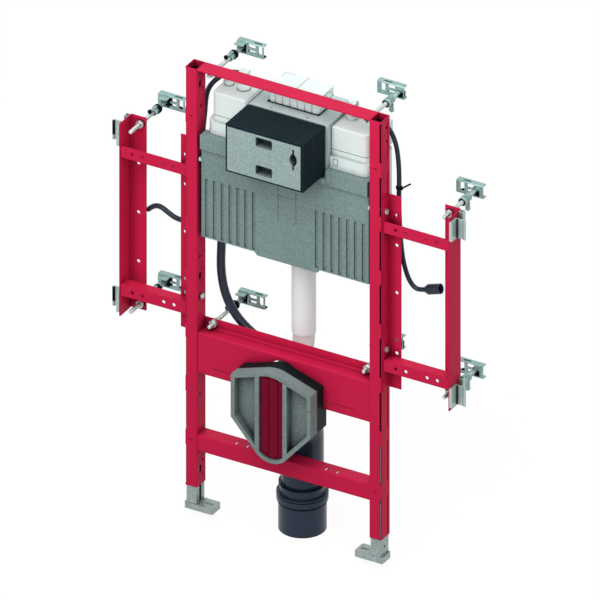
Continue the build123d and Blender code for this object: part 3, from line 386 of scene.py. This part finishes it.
def makeObject(name, form, material=None):
    mesh = bpy.data.meshes.new(name)
    form.to_mesh(mesh)
    form.free()
    if material:
        mesh.materials.append(material)
    made = bpy.data.objects.new(name, mesh)
    bpy.context.collection.objects.link(made)
    return made


def shadePiece(mesh, crisp=35):
    mesh.shade_smooth()
    mesh.set_sharp_from_angle(angle=math.radians(crisp))


def finishPiece(name, form, finish, replaced=(), crisp=35):
    bmesh.ops.remove_doubles(form, verts=form.verts, dist=1e-6)
    bmesh.ops.recalc_face_normals(form, faces=form.faces)
    piece = makeObject(name, form, finishes[finish])
    shadePiece(piece.data, crisp)
    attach(piece, "frame")
    if replaced:
        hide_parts(*replaced)


# wall fixings: threaded rods, with a washer and a nut on each side of what carries them
rods = {
    "places": {  # x, z, front end, and the carrier's front and back faces
        "leftTop": (-200, 1107, 14, 37.5, 40), "rightTop": (200, 1107, 14, 37.5, 40),
        "leftPan": (-197, 468.5, 14, 37.5, 40), "rightPan": (197, 468.5, 14, 37.5, 40),
        "leftUpper": (-394.6, 912, 8, 56, 58.5), "rightUpper": (394.6, 912, 27, 56, 58.5),
        "leftLower": (-394.6, 453, 8, 56, 58.5), "rightLower": (394.6, 453, 27, 56, 58.5),
    },
    "blackWashers": ("leftUpper", "rightUpper", "leftLower", "rightLower"),
    "core": 4.5, "end": 177, "tipIn": 0.6, "tipLength": 0.8, "sides": 20,
    "crest": 5, "root": 4.45, "pitch": 1.5, "threadSides": 12, "threadEnd": 124,
    "nut": 17, "nutHeight": 8, "washer": 9.5, "washerHeight": 2,
}
# the clamp at the wall end of each rod: a zinc cup with a black seal and band, then one of two kinds of grip
clamp = {
    "cup": 108, "cupEnd": 124, "cupRadius": 10.4, "leftCupRadius": 8.2, "wall": 2, "edge": 0.6,
    "sealStart": 111, "bandStart": 117, "bandEnd": 118.4, "bandIn": 0.5, "bandOut": 0.15,
    "head": 136, "ring": 9.6, "sealHeight": 2, "chamfer": 1,
    "lever": 34, "leverRadius": 6.25, "leverFront": 131, "leverSheet": 4, "leverSoft": 0.8, "eyeProud": 0.5,
    "leftRing": 10.6, "leftRingStart": 122, "leftRingEnd": 133, "hub": 7, "hubEdge": 0.5, "hubEnd": 138,
    "tongue": 92, "tongueRise": 9.7, "tongueSheet": 2.2, "tongueHalf": 3.5, "knob": 5, "knobHeight": 4,
}


# one turn of thread, copied along the rod
def addThread(form, x, z, start, end):
    crest, root, pitch, sides = rods["crest"], rods["root"], rods["pitch"], rods["threadSides"]
    turn = bmesh.new()
    verts, edges = addLine(turn, [(x + root, start, z), (x + crest, start + pitch / 2, z),
                                  (x + root, start + pitch, z)])
    bmesh.ops.spin(turn, geom=verts + edges, cent=at(x, 0, z), axis=(0, 1, 0), angle=2 * math.pi, steps=sides,
                   dvec=(0, pitch / sides / 1000, 0), use_duplicate=False)
    count = int((end - start) / pitch) - 1
    addCopies(form, turn, [(0, pitch * step / 1000, 0) for step in range(count)])


def addRod(steel, washers, x, z, front, carrierFront, carrierBack):
    core, end = rods["core"], rods["end"]
    addTurned(steel, x, z, [(0, front), (core - rods["tipIn"], front), (core, front + rods["tipLength"]),
                            (core, end), (0, end)], steps=rods["sides"])
    addThread(steel, x, z, front + 1, rods["threadEnd"])
    for face, way in ((carrierFront, -1), (carrierBack, 1)):
        washerFront, washerBack = sorted((face, face + way * rods["washerHeight"]))
        addTurned(washers, x, z, squareRing(core, rods["washer"], washerFront, washerBack))
        nutFront = washerBack if way > 0 else washerFront - rods["nutHeight"]
        addHexagon(steel, x, z, nutFront, rods["nutHeight"], rods["nut"])


def addCup(zinc, rubber, x, z):
    core, cup, end, floor = rods["core"], clamp["cup"], clamp["cupEnd"], clamp["cupEnd"] - clamp["wall"]
    wide = clamp["cupRadius"] if x > 0 else clamp["leftCupRadius"]
    mouth, edge = wide - clamp["wall"], clamp["edge"]
    addTurned(zinc, x, z, [(mouth, cup), (wide - edge, cup), (wide, cup + edge), (wide, end), (core, end),
                           (core, floor), (mouth, floor)])
    addTurned(rubber, x, z, squareRing(core, mouth, clamp["sealStart"], floor))
    addTurned(rubber, x, z, squareRing(wide - clamp["bandIn"], wide + clamp["bandOut"], clamp["bandStart"],
                                       clamp["bandEnd"]))


# right: a zinc ring whose lever hangs down to a round end
def addLever(zinc, rubber, x, z):
    core, ring, half = rods["core"], clamp["ring"], clamp["leverRadius"]
    ringStart = clamp["cupEnd"] + clamp["sealHeight"]
    addTurned(rubber, x, z, squareRing(core, ring, clamp["cupEnd"], ringStart))
    addTurned(zinc, x, z, chamferedRing(core, ring, ringStart, clamp["head"] + clamp["chamfer"],
                                        clamp["chamfer"]))
    front, back = clamp["leverFront"], clamp["leverFront"] + clamp["leverSheet"]
    eye = z - clamp["lever"] + half
    addBlock(zinc, (x - half + 1, front, eye), (x + half - 1, back, z), soft=clamp["leverSoft"])
    addTurned(zinc, x, eye, chamferedRing(0, half, front - clamp["eyeProud"], back + clamp["eyeProud"],
                                          clamp["leverSoft"]))


# left: a black ring, and a tongue that reaches forward over the cup to a black knob
def addTongue(zinc, rubber, x, z):
    core, hub, edge = rods["core"], clamp["hub"], clamp["hubEdge"]
    ringEnd, hubEnd = clamp["leftRingEnd"], clamp["hubEnd"]
    addTurned(rubber, x, z, chamferedRing(core, clamp["leftRing"], clamp["leftRingStart"], ringEnd,
                                          clamp["chamfer"]))
    addTurned(zinc, x, z, [(core, ringEnd), (hub - edge, ringEnd), (hub, ringEnd + edge), (hub, hubEnd),
                           (core, hubEnd)])
    start, middle, half = clamp["tongue"], z + clamp["tongueRise"], clamp["tongueSheet"] / 2
    addBlock(zinc, (x - clamp["tongueHalf"], start + 2, middle - half),
             (x + clamp["tongueHalf"], clamp["cupEnd"], middle + half), soft=0.8)
    knob, end = clamp["knob"], start + clamp["knobHeight"]
    addTurned(rubber, x, middle, [(0, start), (knob - 0.6, start), (knob, start + 1), (knob, end), (0, end)],
              steps=20)


steel, zinc, rubber = bmesh.new(), bmesh.new(), bmesh.new()
for name, (x, z, *depths) in rods["places"].items():
    addRod(steel, rubber if name in rods["blackWashers"] else steel, x, z, *depths)
    addCup(zinc, rubber, x, z)
    if x > 0:
        addLever(zinc, rubber, x, z)
    else:
        addTongue(zinc, rubber, x, z)
rodNodes = ("frame_wall_rods", "side_frame_wall_rods")
finishPiece("threadedRods", steel, "rodSteel", replaced=rodNodes, crisp=28)
finishPiece("rodClamps", zinc, "zincPlate", replaced=rodNodes)
finishPiece("rodSeals", rubber, "gapBlack", replaced=rodNodes)
print("rods and clamps made")

# wall brackets: a folded sheet with its slots, a neck out to the rod, and black blocks inside that paint the
# shade behind its slots
# a slot or bar is its start, end, front, back, foot and top
bracket = {
    "kinds": {  # which node, how far it stands out beyond the rod, and how far its slots lie towards the rod
        "leftTop": ("left_top_wall_bracket", 13, 0), "rightTop": ("right_top_wall_bracket", 13, 7),
        "leftPan": ("left_pan_wall_bracket", 13, 0), "rightPan": ("right_pan_wall_bracket", 13, 7),
        "leftUpper": ("left_side_upper_wall_bracket", 20, 0),
        "rightUpper": ("right_side_upper_wall_bracket", 20, 7),
        "leftLower": ("left_side_lower_wall_bracket", 20, 0),
        "rightLower": ("right_side_lower_wall_bracket", 20, 7),
    },
    "face": 165, "wall": 180, "half": 16.5, "length": 68, "sheet": 2.5, "fold": 1.6, "edge": 0.35,
    "slots": [  # from the outer end
        (29.5, 47.5, 160, 170, 5, 13.6), (29.5, 47.5, 160, 170, -7.5, -0.5), (54, 64.5, 160, 170, -9, 13.6),
        (40, 60, 170, 174.5, 10, 20), (40, 60, 170, 174.5, -20, -10),
    ],
    "slotSoft": 1.4,
    "window": (-11, 11, 160, 170, -12.5), "windowTop": 3, "leftWindowTop": 11.6,  # behind the neck
    "neckWidth": 12, "neckSheet": 3.4, "neckStart": (133, -3), "neckEnd": (168, 4),
    "flap": (-12, 11, 148, 166, 11.6, 14.2),  # over a left neck
    "block": (-11, 11, 170, 177, -12.5), "stop": (30, 38, 170, 176, -13, -8),  # from the rod
    "bars": [(47.5, 54, 167.6, 169, -13, 13), (27, 31, 167.6, 169, -8, 6), (39, 61, 169, 176, 11.9, 13.6)],
    "barSoft": 0.6, "pinIn": 2, "pinDrop": 12.6, "pin": (2.4, 168, 176, 0.4),
}


def cutSlots(x, z, inward, outerEnd, nearer, windowTop):
    cutter = bmesh.new()
    for slot in bracket["slots"]:
        addBar(cutter, outerEnd - inward * nearer, z, inward, slot, bracket["slotSoft"])
    addBar(cutter, x, z, inward, (*bracket["window"], windowTop), bracket["slotSoft"])
    return makeObject("cut", cutter)


def foldSheet(name, z, inward, outerEnd):
    sheet = bmesh.new()
    half = bracket["half"] - bracket["sheet"] / 2
    face = bracket["face"] + bracket["sheet"] / 2
    edges = addLine(sheet, [(outerEnd, bracket["wall"], z + half), (outerEnd, face, z + half),
                            (outerEnd, face, z - half), (outerEnd, bracket["wall"], z - half)])[1]
    pullEdges(sheet, edges, (inward * bracket["length"] / 1000, 0, 0))
    folds = [edge for edge in sheet.edges if len(edge.link_faces) == 2]
    softenEdges(sheet, folds, bracket["fold"], 3)
    bmesh.ops.recalc_face_normals(sheet, faces=sheet.faces)
    return makeObject(name, sheet, finishes["zincPlate"])


# the sheet's thickness, its slots and its soft edges, kept in its mesh
def thickenSheet(piece, knife):
    wall = piece.modifiers.new("sheet", "SOLIDIFY")
    wall.thickness = bracket["sheet"] / 1000
    wall.offset = 0
    cut = piece.modifiers.new("slots", "BOOLEAN")
    cut.object = knife
    cut.operation = "DIFFERENCE"
    cut.solver = "EXACT"
    cut.use_self = True
    soft = piece.modifiers.new("edges", "BEVEL")
    soft.width = bracket["edge"] / 1000
    soft.segments = 2
    bpy.context.view_layer.update()
    done = bpy.data.meshes.new_from_object(piece.evaluated_get(bpy.context.evaluated_depsgraph_get()))
    piece.modifiers.clear()
    piece.data = done
    shadePiece(done)
    bpy.data.objects.remove(knife)


def addNeck(form, x, z):
    (startY, startZ), (endY, endZ) = bracket["neckStart"], bracket["neckEnd"]
    tilt = Matrix.Rotation(math.atan2(endZ - startZ, endY - startY), 4, "X")
    length = math.hypot(endZ - startZ, endY - startY) / 2
    midY, midZ = (startY + endY) / 2, z + (startZ + endZ) / 2
    width, thick = bracket["neckWidth"] / 2, bracket["neckSheet"] / 2
    addBlock(form, (x - width, midY - length, midZ - thick), (x + width, midY + length, midZ + thick), soft=1,
             turn=tilt)
    if x < 0:
        addBar(form, x, z, 1, bracket["flap"], 1.1)


# black blocks, bars and a pin inside the bracket, painting the shade that its slots look into
def addShadeBlocks(form, x, z, inward, outerEnd, nearer, windowTop):
    addBar(form, x, z, inward, (*bracket["block"], windowTop - 1), bracket["barSoft"])
    addBar(form, x, z, inward, bracket["stop"], bracket["barSoft"])
    for bar in bracket["bars"]:
        addBar(form, outerEnd - inward * nearer, z, inward, bar, bracket["barSoft"])
    radius, front, behind, chamfer = bracket["pin"]
    pin = outerEnd + inward * (bracket["length"] - bracket["pinIn"])
    addTurned(form, pin, z - bracket["pinDrop"], chamferedRing(0, radius, front, behind, chamfer), steps=16)


necks, shadeBlocks = bmesh.new(), bmesh.new()
for name, (node, overhang, nearer) in bracket["kinds"].items():
    x, z = rods["places"][name][:2]
    inward = -1 if x > 0 else 1
    outerEnd = x - inward * overhang
    windowTop = bracket["windowTop"] if x > 0 else bracket["leftWindowTop"]
    piece = foldSheet(name + "Bracket", z, inward, outerEnd)
    thickenSheet(piece, cutSlots(x, z, inward, outerEnd, nearer, windowTop))
    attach(piece, "frame")
    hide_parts(node)
    addNeck(necks, x, z)
    addShadeBlocks(shadeBlocks, x, z, inward, outerEnd, nearer, windowTop)
finishPiece("bracketNecks", necks, "zincPlate", replaced=rodNodes)
finishPiece("bracketShadeBlocks", shadeBlocks, "gapBlack", replaced=rodNodes)
print("wall brackets made")

# the seal under the inlet housing
seal = bmesh.new()
addBlock(seal, (-66, 45, 1068), (66, 120, 1070), soft=0.5)
finishPiece("inletSeal", seal, "gapBlack")

# stop marks on the posts, each a line with a hook, and a crease on each side of the pan's crossbar, in a dark
# red that paints the shade in these pressed lines
stamp = {"post": 235, "heights": (1005, 179), "long": 4.5, "high": 0.9, "hook": (1, 2.6), "hookDrop": 2.5,
         "proud": 0.15, "depth": 1, "soft": 0.1, "crease": (128, 179), "creaseLow": 372.4,
         "creaseHigh": 373.6, "barFront": 3}
stamps = bmesh.new()
for side in (-1, 1):
    post, front, barFront = side * stamp["post"], -stamp["proud"], stamp["barFront"] - stamp["proud"]
    for z in stamp["heights"]:
        addBlock(stamps, (post - stamp["long"], front, z - stamp["high"]),
                 (post + stamp["long"], stamp["depth"], z + stamp["high"]), soft=stamp["soft"])
        addBlock(stamps, (post + stamp["hook"][0], front, z - stamp["hookDrop"]),
                 (post + stamp["hook"][1], stamp["depth"], z), soft=stamp["soft"])
    left, right = sorted(side * x for x in stamp["crease"])
    addBlock(stamps, (left, barFront, stamp["creaseLow"]),
             (right, stamp["barFront"] + stamp["depth"], stamp["creaseHigh"]), soft=stamp["soft"])
finishPiece("pressMarks", stamps, "pressedShadeRed")

# welded spots on the inner face of the left side frame
weld = {"x": -418.9, "y": 30.4, "heights": (700.8, 574.4), "radius": 0.006, "flat": 0.14}
spots = bmesh.new()
for z in weld["heights"]:
    place = Matrix.Translation(at(weld["x"], weld["y"], z)) @ Matrix.Diagonal((weld["flat"], 1, 1, 1))
    bmesh.ops.create_uvsphere(spots, u_segments=20, v_segments=10, radius=weld["radius"], matrix=place)
finishPiece("weldSpots", spots, "powderCoat", crisp=60)

# cable tie round the right conduit, with its head and its tail
tie = {"middle": (260.5, 62, 932), "radius": 0.0062, "height": 0.004, "thick": 0.0014,
       "head": ((265, 57, 931), (271, 63, 938)), "tail": ((268, 59.3, 942.5), (294, 60.7, 946.5)),
       "droop": -38}
strap = bmesh.new()
loop = bmesh.ops.create_circle(strap, segments=28, radius=tie["radius"],
                               matrix=Matrix.Translation(at(*tie["middle"])))["verts"]
pullEdges(strap, edgesOf(loop), (0, 0, tie["height"]))
bmesh.ops.solidify(strap, geom=strap.faces[:], thickness=-tie["thick"])
addBlock(strap, *tie["head"], soft=0.8)
addBlock(strap, *tie["tail"], soft=0.4, turn=Matrix.Rotation(math.radians(tie["droop"]), 4, "Y"))
finishPiece("cableTie", strap, "gapBlack")


# a block of the right side and its mirror image
def bothSides(low, high):
    return (low, high), ((-high[0], *low[1:]), (-low[0], *high[1:]))


# lines, marks, and painted shade in gaps and recesses: a finish, a slot, and each block's low and high corner
marks = {
    "tankLines": ("lineGrey", "white_plastic", [
        *bothSides((97.3, 18, 1067.8), (98.1, 115, 1068.5)),
        *bothSides((106.1, 30, 1061.8), (107.4, 115, 1062.5)),
        ((-107.2, 29.3, 1004), (-106.1, 31, 1061)), ((106.1, 29.3, 990), (107.2, 31, 1061)),
        ((-49, 24.8, 1067.8), (-41, 26.2, 1068.5)), ((43, 25.6, 1067.8), (51, 27, 1068.5)),
        ((-57.9, 112.6, 1110.6), (-32, 113.3, 1111.2)), ((-57.9, 94, 1110.6), (-57.2, 113.3, 1111.2)),
        ((115, 21.6, 969.5), (116, 23, 985.5)), ((126, 21.6, 969.5), (127, 23, 985.5)),
        ((115, 21.6, 969.5), (127, 23, 970.5)), ((115, 21.6, 984.5), (127, 23, 985.5)),
    ]),
    "foamLines": ("foamShade", "grey_foam", [
        ((-18, 8.7, 798), (-17.3, 10, 890)), ((27.5, 8.7, 800), (28.2, 10, 890)),
        ((-18, 8.7, 889.5), (28, 10, 890.2)), ((-18, 8.7, 860), (28, 10, 860.7)),
    ]),
    "gripPaintedShade": ("foamShade", "grey_foam", [  # dark foam painting the shade in each grip of the cover: on its back, top and left side
        ((left, front, middle + foot), (right, behind, middle + top))
        for middle in (972, 1043)
        for left, right, front, behind, foot, top in (
            (-20.8, 20.8, -64.5, -63, -11.7, 11.7), (-20.8, 20.8, -82, -64, 10, 11.9),
            (-20.9, -19.2, -82, -64, -11, 11))
    ]),
    # dark red plates just inside the posts' open tops, painting the shade down in the hollow posts
    "postInsideShade": ("darkRed", "red_paint", [*bothSides((222, 2, 1108), (248, 38, 1111))]),
    # black strips painting the shade in the gaps of the clips, and dark blocks at the left clips' outer ends
    "clipGapShade": ("gapBlack", "black_plastic", [
        *bothSides((428.4, 25.4, 872), (430.8, 27.2, 919.5)),
        *bothSides((428.4, 25.4, 447.5), (430.8, 27.2, 495)),
        ((443.8, 26, 872), (445.7, 27.2, 919.5)), ((443.8, 26, 447.5), (445.7, 27.2, 495)),
        ((-449.4, 23.9, 884), (-444.5, 27.2, 920)), ((-449.4, 23.9, 459), (-444.5, 27.2, 495.5)),
    ]),
    "tankSeams": ("tankWhite", "white_plastic", [*bothSides((198, 94, 1000), (206.5, 128, 1058))]),
    "coverSplits": ("foamShade", "grey_foam", [
        ((-101.8, -55.2, 370.2), (-92.2, -54, 371.1)), ((92.2, -55.2, 371.6), (101.8, -54, 372.5)),
        ((-3.2, -55.2, 213.6), (-2.3, -54, 221.6)),
    ]),
    "foamTab": ("greyFoam", "grey_foam", [((108, 1.2, 929), (120, 10, 958))]),
}
for name, (finish, slot, blocks) in marks.items():
    form = bmesh.new()
    for low, high in blocks:
        addBlock(form, low, high, soft=0.12)
    finishPiece(name, form, finish)

# the inlet valve's hose, along X: start, end and radius of its nut, its tube and its mouth
supply = {"y": 84, "z": 1098, "runs": ((64.2, 77, 9), (77, 118.6, 6.8), (139.9, 140.4, 5.4))}
tube = bmesh.new()
for start, end, radius in supply["runs"]:
    addRound(tube, ((start + end) / 2, supply["y"], supply["z"]), end - start, radius,
             turn=Matrix.Rotation(math.pi / 2, 4, "Y"))
finishPiece("supplyHose", tube, "shaftGrey")

# the drain's black seals: foot, top and radius
drain = {"y": 86, "seals": ((52.5, 57.2, 56.4), (97.2, 100.5, 53.1), (70, 72.4, 58.25)), "thick": 0.001}
seals = bmesh.new()
for foot, top, radius in drain["seals"]:
    addRound(seals, (0, drain["y"], (foot + top) / 2), top - foot, radius, sides=72, capped=False)
bmesh.ops.solidify(seals, geom=seals.faces[:], thickness=drain["thick"])
finishPiece("drainSeals", seals, "gapBlack")

# dark rings round the tank's bosses: x and radius
boss = {"y": 78, "z": 1062.2, "height": 0.7, "rings": ((-182, 11), (-145, 16))}
discs = bmesh.new()
for x, radius in boss["rings"]:
    addRound(discs, (x, boss["y"], boss["z"]), boss["height"], radius, sides=40)
finishPiece("bossRings", discs, "lineGrey")

# domed nuts on the posts' inner faces, each on a dark washer: start, end, radius and radius at the end
nut = {"face": 220, "places": ((11, 895), (18, 541)), "washer": (0, 1.6, 8.4, 8.4),
       "head": ((1.6, 5.5, 6.6, 6.4), (5.5, 8.5, 6.4, 3.6))}
heads, washers = bmesh.new(), bmesh.new()
for side in (-1, 1):
    for y, z in nut["places"]:
        for form, shapes in ((washers, (nut["washer"],)), (heads, nut["head"])):
            for start, end, radius, tip in shapes:
                addRound(form, (side * (nut["face"] - (start + end) / 2), y, z), end - start, radius, tip=tip,
                         turn=Matrix.Rotation(-side * math.pi / 2, 4, "Y"), sides=24)
finishPiece("domedNuts", heads, "rodSteel")
finishPiece("nutWashers", washers, "gapBlack")
print("small pieces made")

# conduits, as smooth curves on the routes' points, in the frame's metres
conduits = {
    "leftHose": {
        "node": "left_conduit", "diameter": 0.012, "length": 0.565, "end": "bare",
        "exit": (0.011, -0.076, -0.04225),
        "points": [
            (0.011, -0.076, -0.04225), (-0.007, -0.076, -0.04225), (-0.021, -0.089, -0.04525),
            (-0.034, -0.104, -0.05425), (-0.046, -0.110, -0.07025), (-0.055, -0.110, -0.09025),
            (-0.059, -0.110, -0.11425), (-0.061, -0.110, -0.14725), (-0.066, -0.110, -0.19225),
            (-0.069, -0.110, -0.24425), (-0.070, -0.110, -0.29725), (-0.068, -0.110, -0.34725),
            (-0.068, -0.110, -0.38725), (-0.076, -0.110, -0.41125), (-0.092, -0.110, -0.42825),
            (-0.114, -0.110, -0.43725), (-0.136, -0.110, -0.43625), (-0.155, -0.110, -0.42725),
            (-0.173, -0.110, -0.41725), (-0.192, -0.110, -0.42025), (-0.206, -0.110, -0.43525),
        ],
    },
    "rightHose": {
        "node": "right_conduit", "diameter": 0.011, "length": 0.52, "end": "connector",
        "exit": (0.320, -0.096, -0.03825), "with": ["right_conduit_cuff"],
        "points": [
            (0.320, -0.096, -0.03825), (0.347, -0.096, -0.03825), (0.374, -0.100, -0.03925),
            (0.399, -0.108, -0.04425), (0.421, -0.115, -0.05825), (0.433, -0.118, -0.08425),
            (0.438, -0.118, -0.11925), (0.440, -0.118, -0.16225), (0.439, -0.118, -0.20925),
            (0.440, -0.118, -0.25625), (0.442, -0.118, -0.29625), (0.445, -0.118, -0.33625),
            (0.450, -0.118, -0.37225), (0.458, -0.118, -0.40025), (0.466, -0.118, -0.41825),
            (0.476, -0.118, -0.43025), (0.489, -0.118, -0.43525), (0.504, -0.118, -0.43025),
        ],
    },
    "lowerHose": {
        "node": "lower_conduit", "diameter": 0.020, "length": 0.30, "end": "object",
        "exit": (-0.015, -0.114, -0.42225),
        "points": [
            (-0.015, -0.114, -0.42225), (-0.016, -0.114, -0.47025), (-0.018, -0.114, -0.52025),
            (-0.013, -0.114, -0.56625), (0.000, -0.114, -0.60625), (0.023, -0.114, -0.64025),
            (0.055, -0.114, -0.66625), (0.087, -0.114, -0.68225),
        ],
    },
}


def layConduit(name, conduit):
    curve = bpy.data.curves.new(name, "CURVE")
    curve.dimensions = "3D"
    curve.resolution_u = 8
    curve.bevel_depth = conduit["diameter"] / 2
    curve.bevel_resolution = 5
    curve.use_fill_caps = True
    spline = curve.splines.new("NURBS")
    spline.points.add(len(conduit["points"]) - 1)
    for point, place in zip(spline.points, conduit["points"]):
        point.co = (*place, 1)
    spline.order_u = 3
    spline.use_endpoint_u = True
    curve.materials.append(finishes["hoseSlate"])
    hose = bpy.data.objects.new(name, curve)
    bpy.context.collection.objects.link(hose)
    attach(hose, "frame")
    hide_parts(conduit["node"])


for name, conduit in conduits.items():
    layConduit(name, conduit)
print("conduits laid")

# floor, light and background
stage = {"floor": -1.1415, "size": 12, "paper": 0.9, "dim": 0.42, "shine": 0.88, "glow": 1.05, "world": 0.66,
         "lamp": 30, "lampSize": 1.8, "lampAt": (200, -1300, 2350), "lampTo": (0, 50, 700)}


# 1 for what the camera sees, straight, in a gloss or through glass
def lookPath(tree):
    path = tree.nodes.new("ShaderNodeLightPath")
    straight, glossy = path.outputs["Is Camera Ray"], path.outputs["Is Glossy Ray"]
    seen = addNode(tree, "ShaderNodeMath", {0: straight, 1: glossy}, operation="MAXIMUM")
    through = addNode(tree, "ShaderNodeMath", {0: seen.outputs[0], 1: path.outputs["Is Transmission Ray"]},
                      operation="MAXIMUM")
    return through.outputs[0]


# paper that is dim to the object's light, and to the eye pale, with the object's shadow on it
def makePaper():
    paper = bpy.data.materials.new("paper")
    paper.use_nodes = True
    tree = paper.node_tree
    tree.nodes.clear()
    dim = addNode(tree, "ShaderNodeBsdfDiffuse", {"Color": (stage["dim"],) * 3 + (1,)})
    pale = addNode(tree, "ShaderNodeBsdfDiffuse", {"Color": (stage["paper"],) * 3 + (1,)})
    glow = addNode(tree, "ShaderNodeEmission", {"Color": (1, 1, 1, 1), "Strength": stage["glow"]})
    lit = addNode(tree, "ShaderNodeMixShader", {0: stage["shine"], 1: pale.outputs[0], 2: glow.outputs[0]})
    shown = addNode(tree, "ShaderNodeMixShader", {0: lookPath(tree), 1: dim.outputs[0], 2: lit.outputs[0]})
    addNode(tree, "ShaderNodeOutputMaterial", {"Surface": shown.outputs[0]})
    return paper


ground = bmesh.new()
bmesh.ops.create_grid(ground, x_segments=1, y_segments=1, size=stage["size"] / 2,
                      matrix=Matrix.Translation((0, 0, stage["floor"])))
makeObject("floor", ground, makePaper())

lamp = bpy.data.lights.new("softbox", "AREA")
lamp.shape = "SQUARE"
lamp.size = stage["lampSize"]
lamp.energy = stage["lamp"]
softbox = bpy.data.objects.new("softbox", lamp)
softbox.location = at(*stage["lampAt"])
softbox.rotation_euler = (at(*stage["lampTo"]) - softbox.location).to_track_quat("-Z", "Y").to_euler()
bpy.context.collection.objects.link(softbox)

world = bpy.data.worlds.new("studio")
bpy.context.scene.world = world
world.use_nodes = True
sky = world.node_tree
sky.nodes.clear()
light = addNode(sky, "ShaderNodeBackground", {"Color": (1, 1, 1, 1), "Strength": stage["world"]})
white = addNode(sky, "ShaderNodeBackground", {"Color": (1, 1, 1, 1), "Strength": 1})
both = addNode(sky, "ShaderNodeMixShader", {0: lookPath(sky), 1: light.outputs[0], 2: white.outputs[0]})
addNode(sky, "ShaderNodeOutputWorld", {"Surface": both.outputs[0]})
bpy.context.scene.view_settings.view_transform = "Standard"
print("stage set")
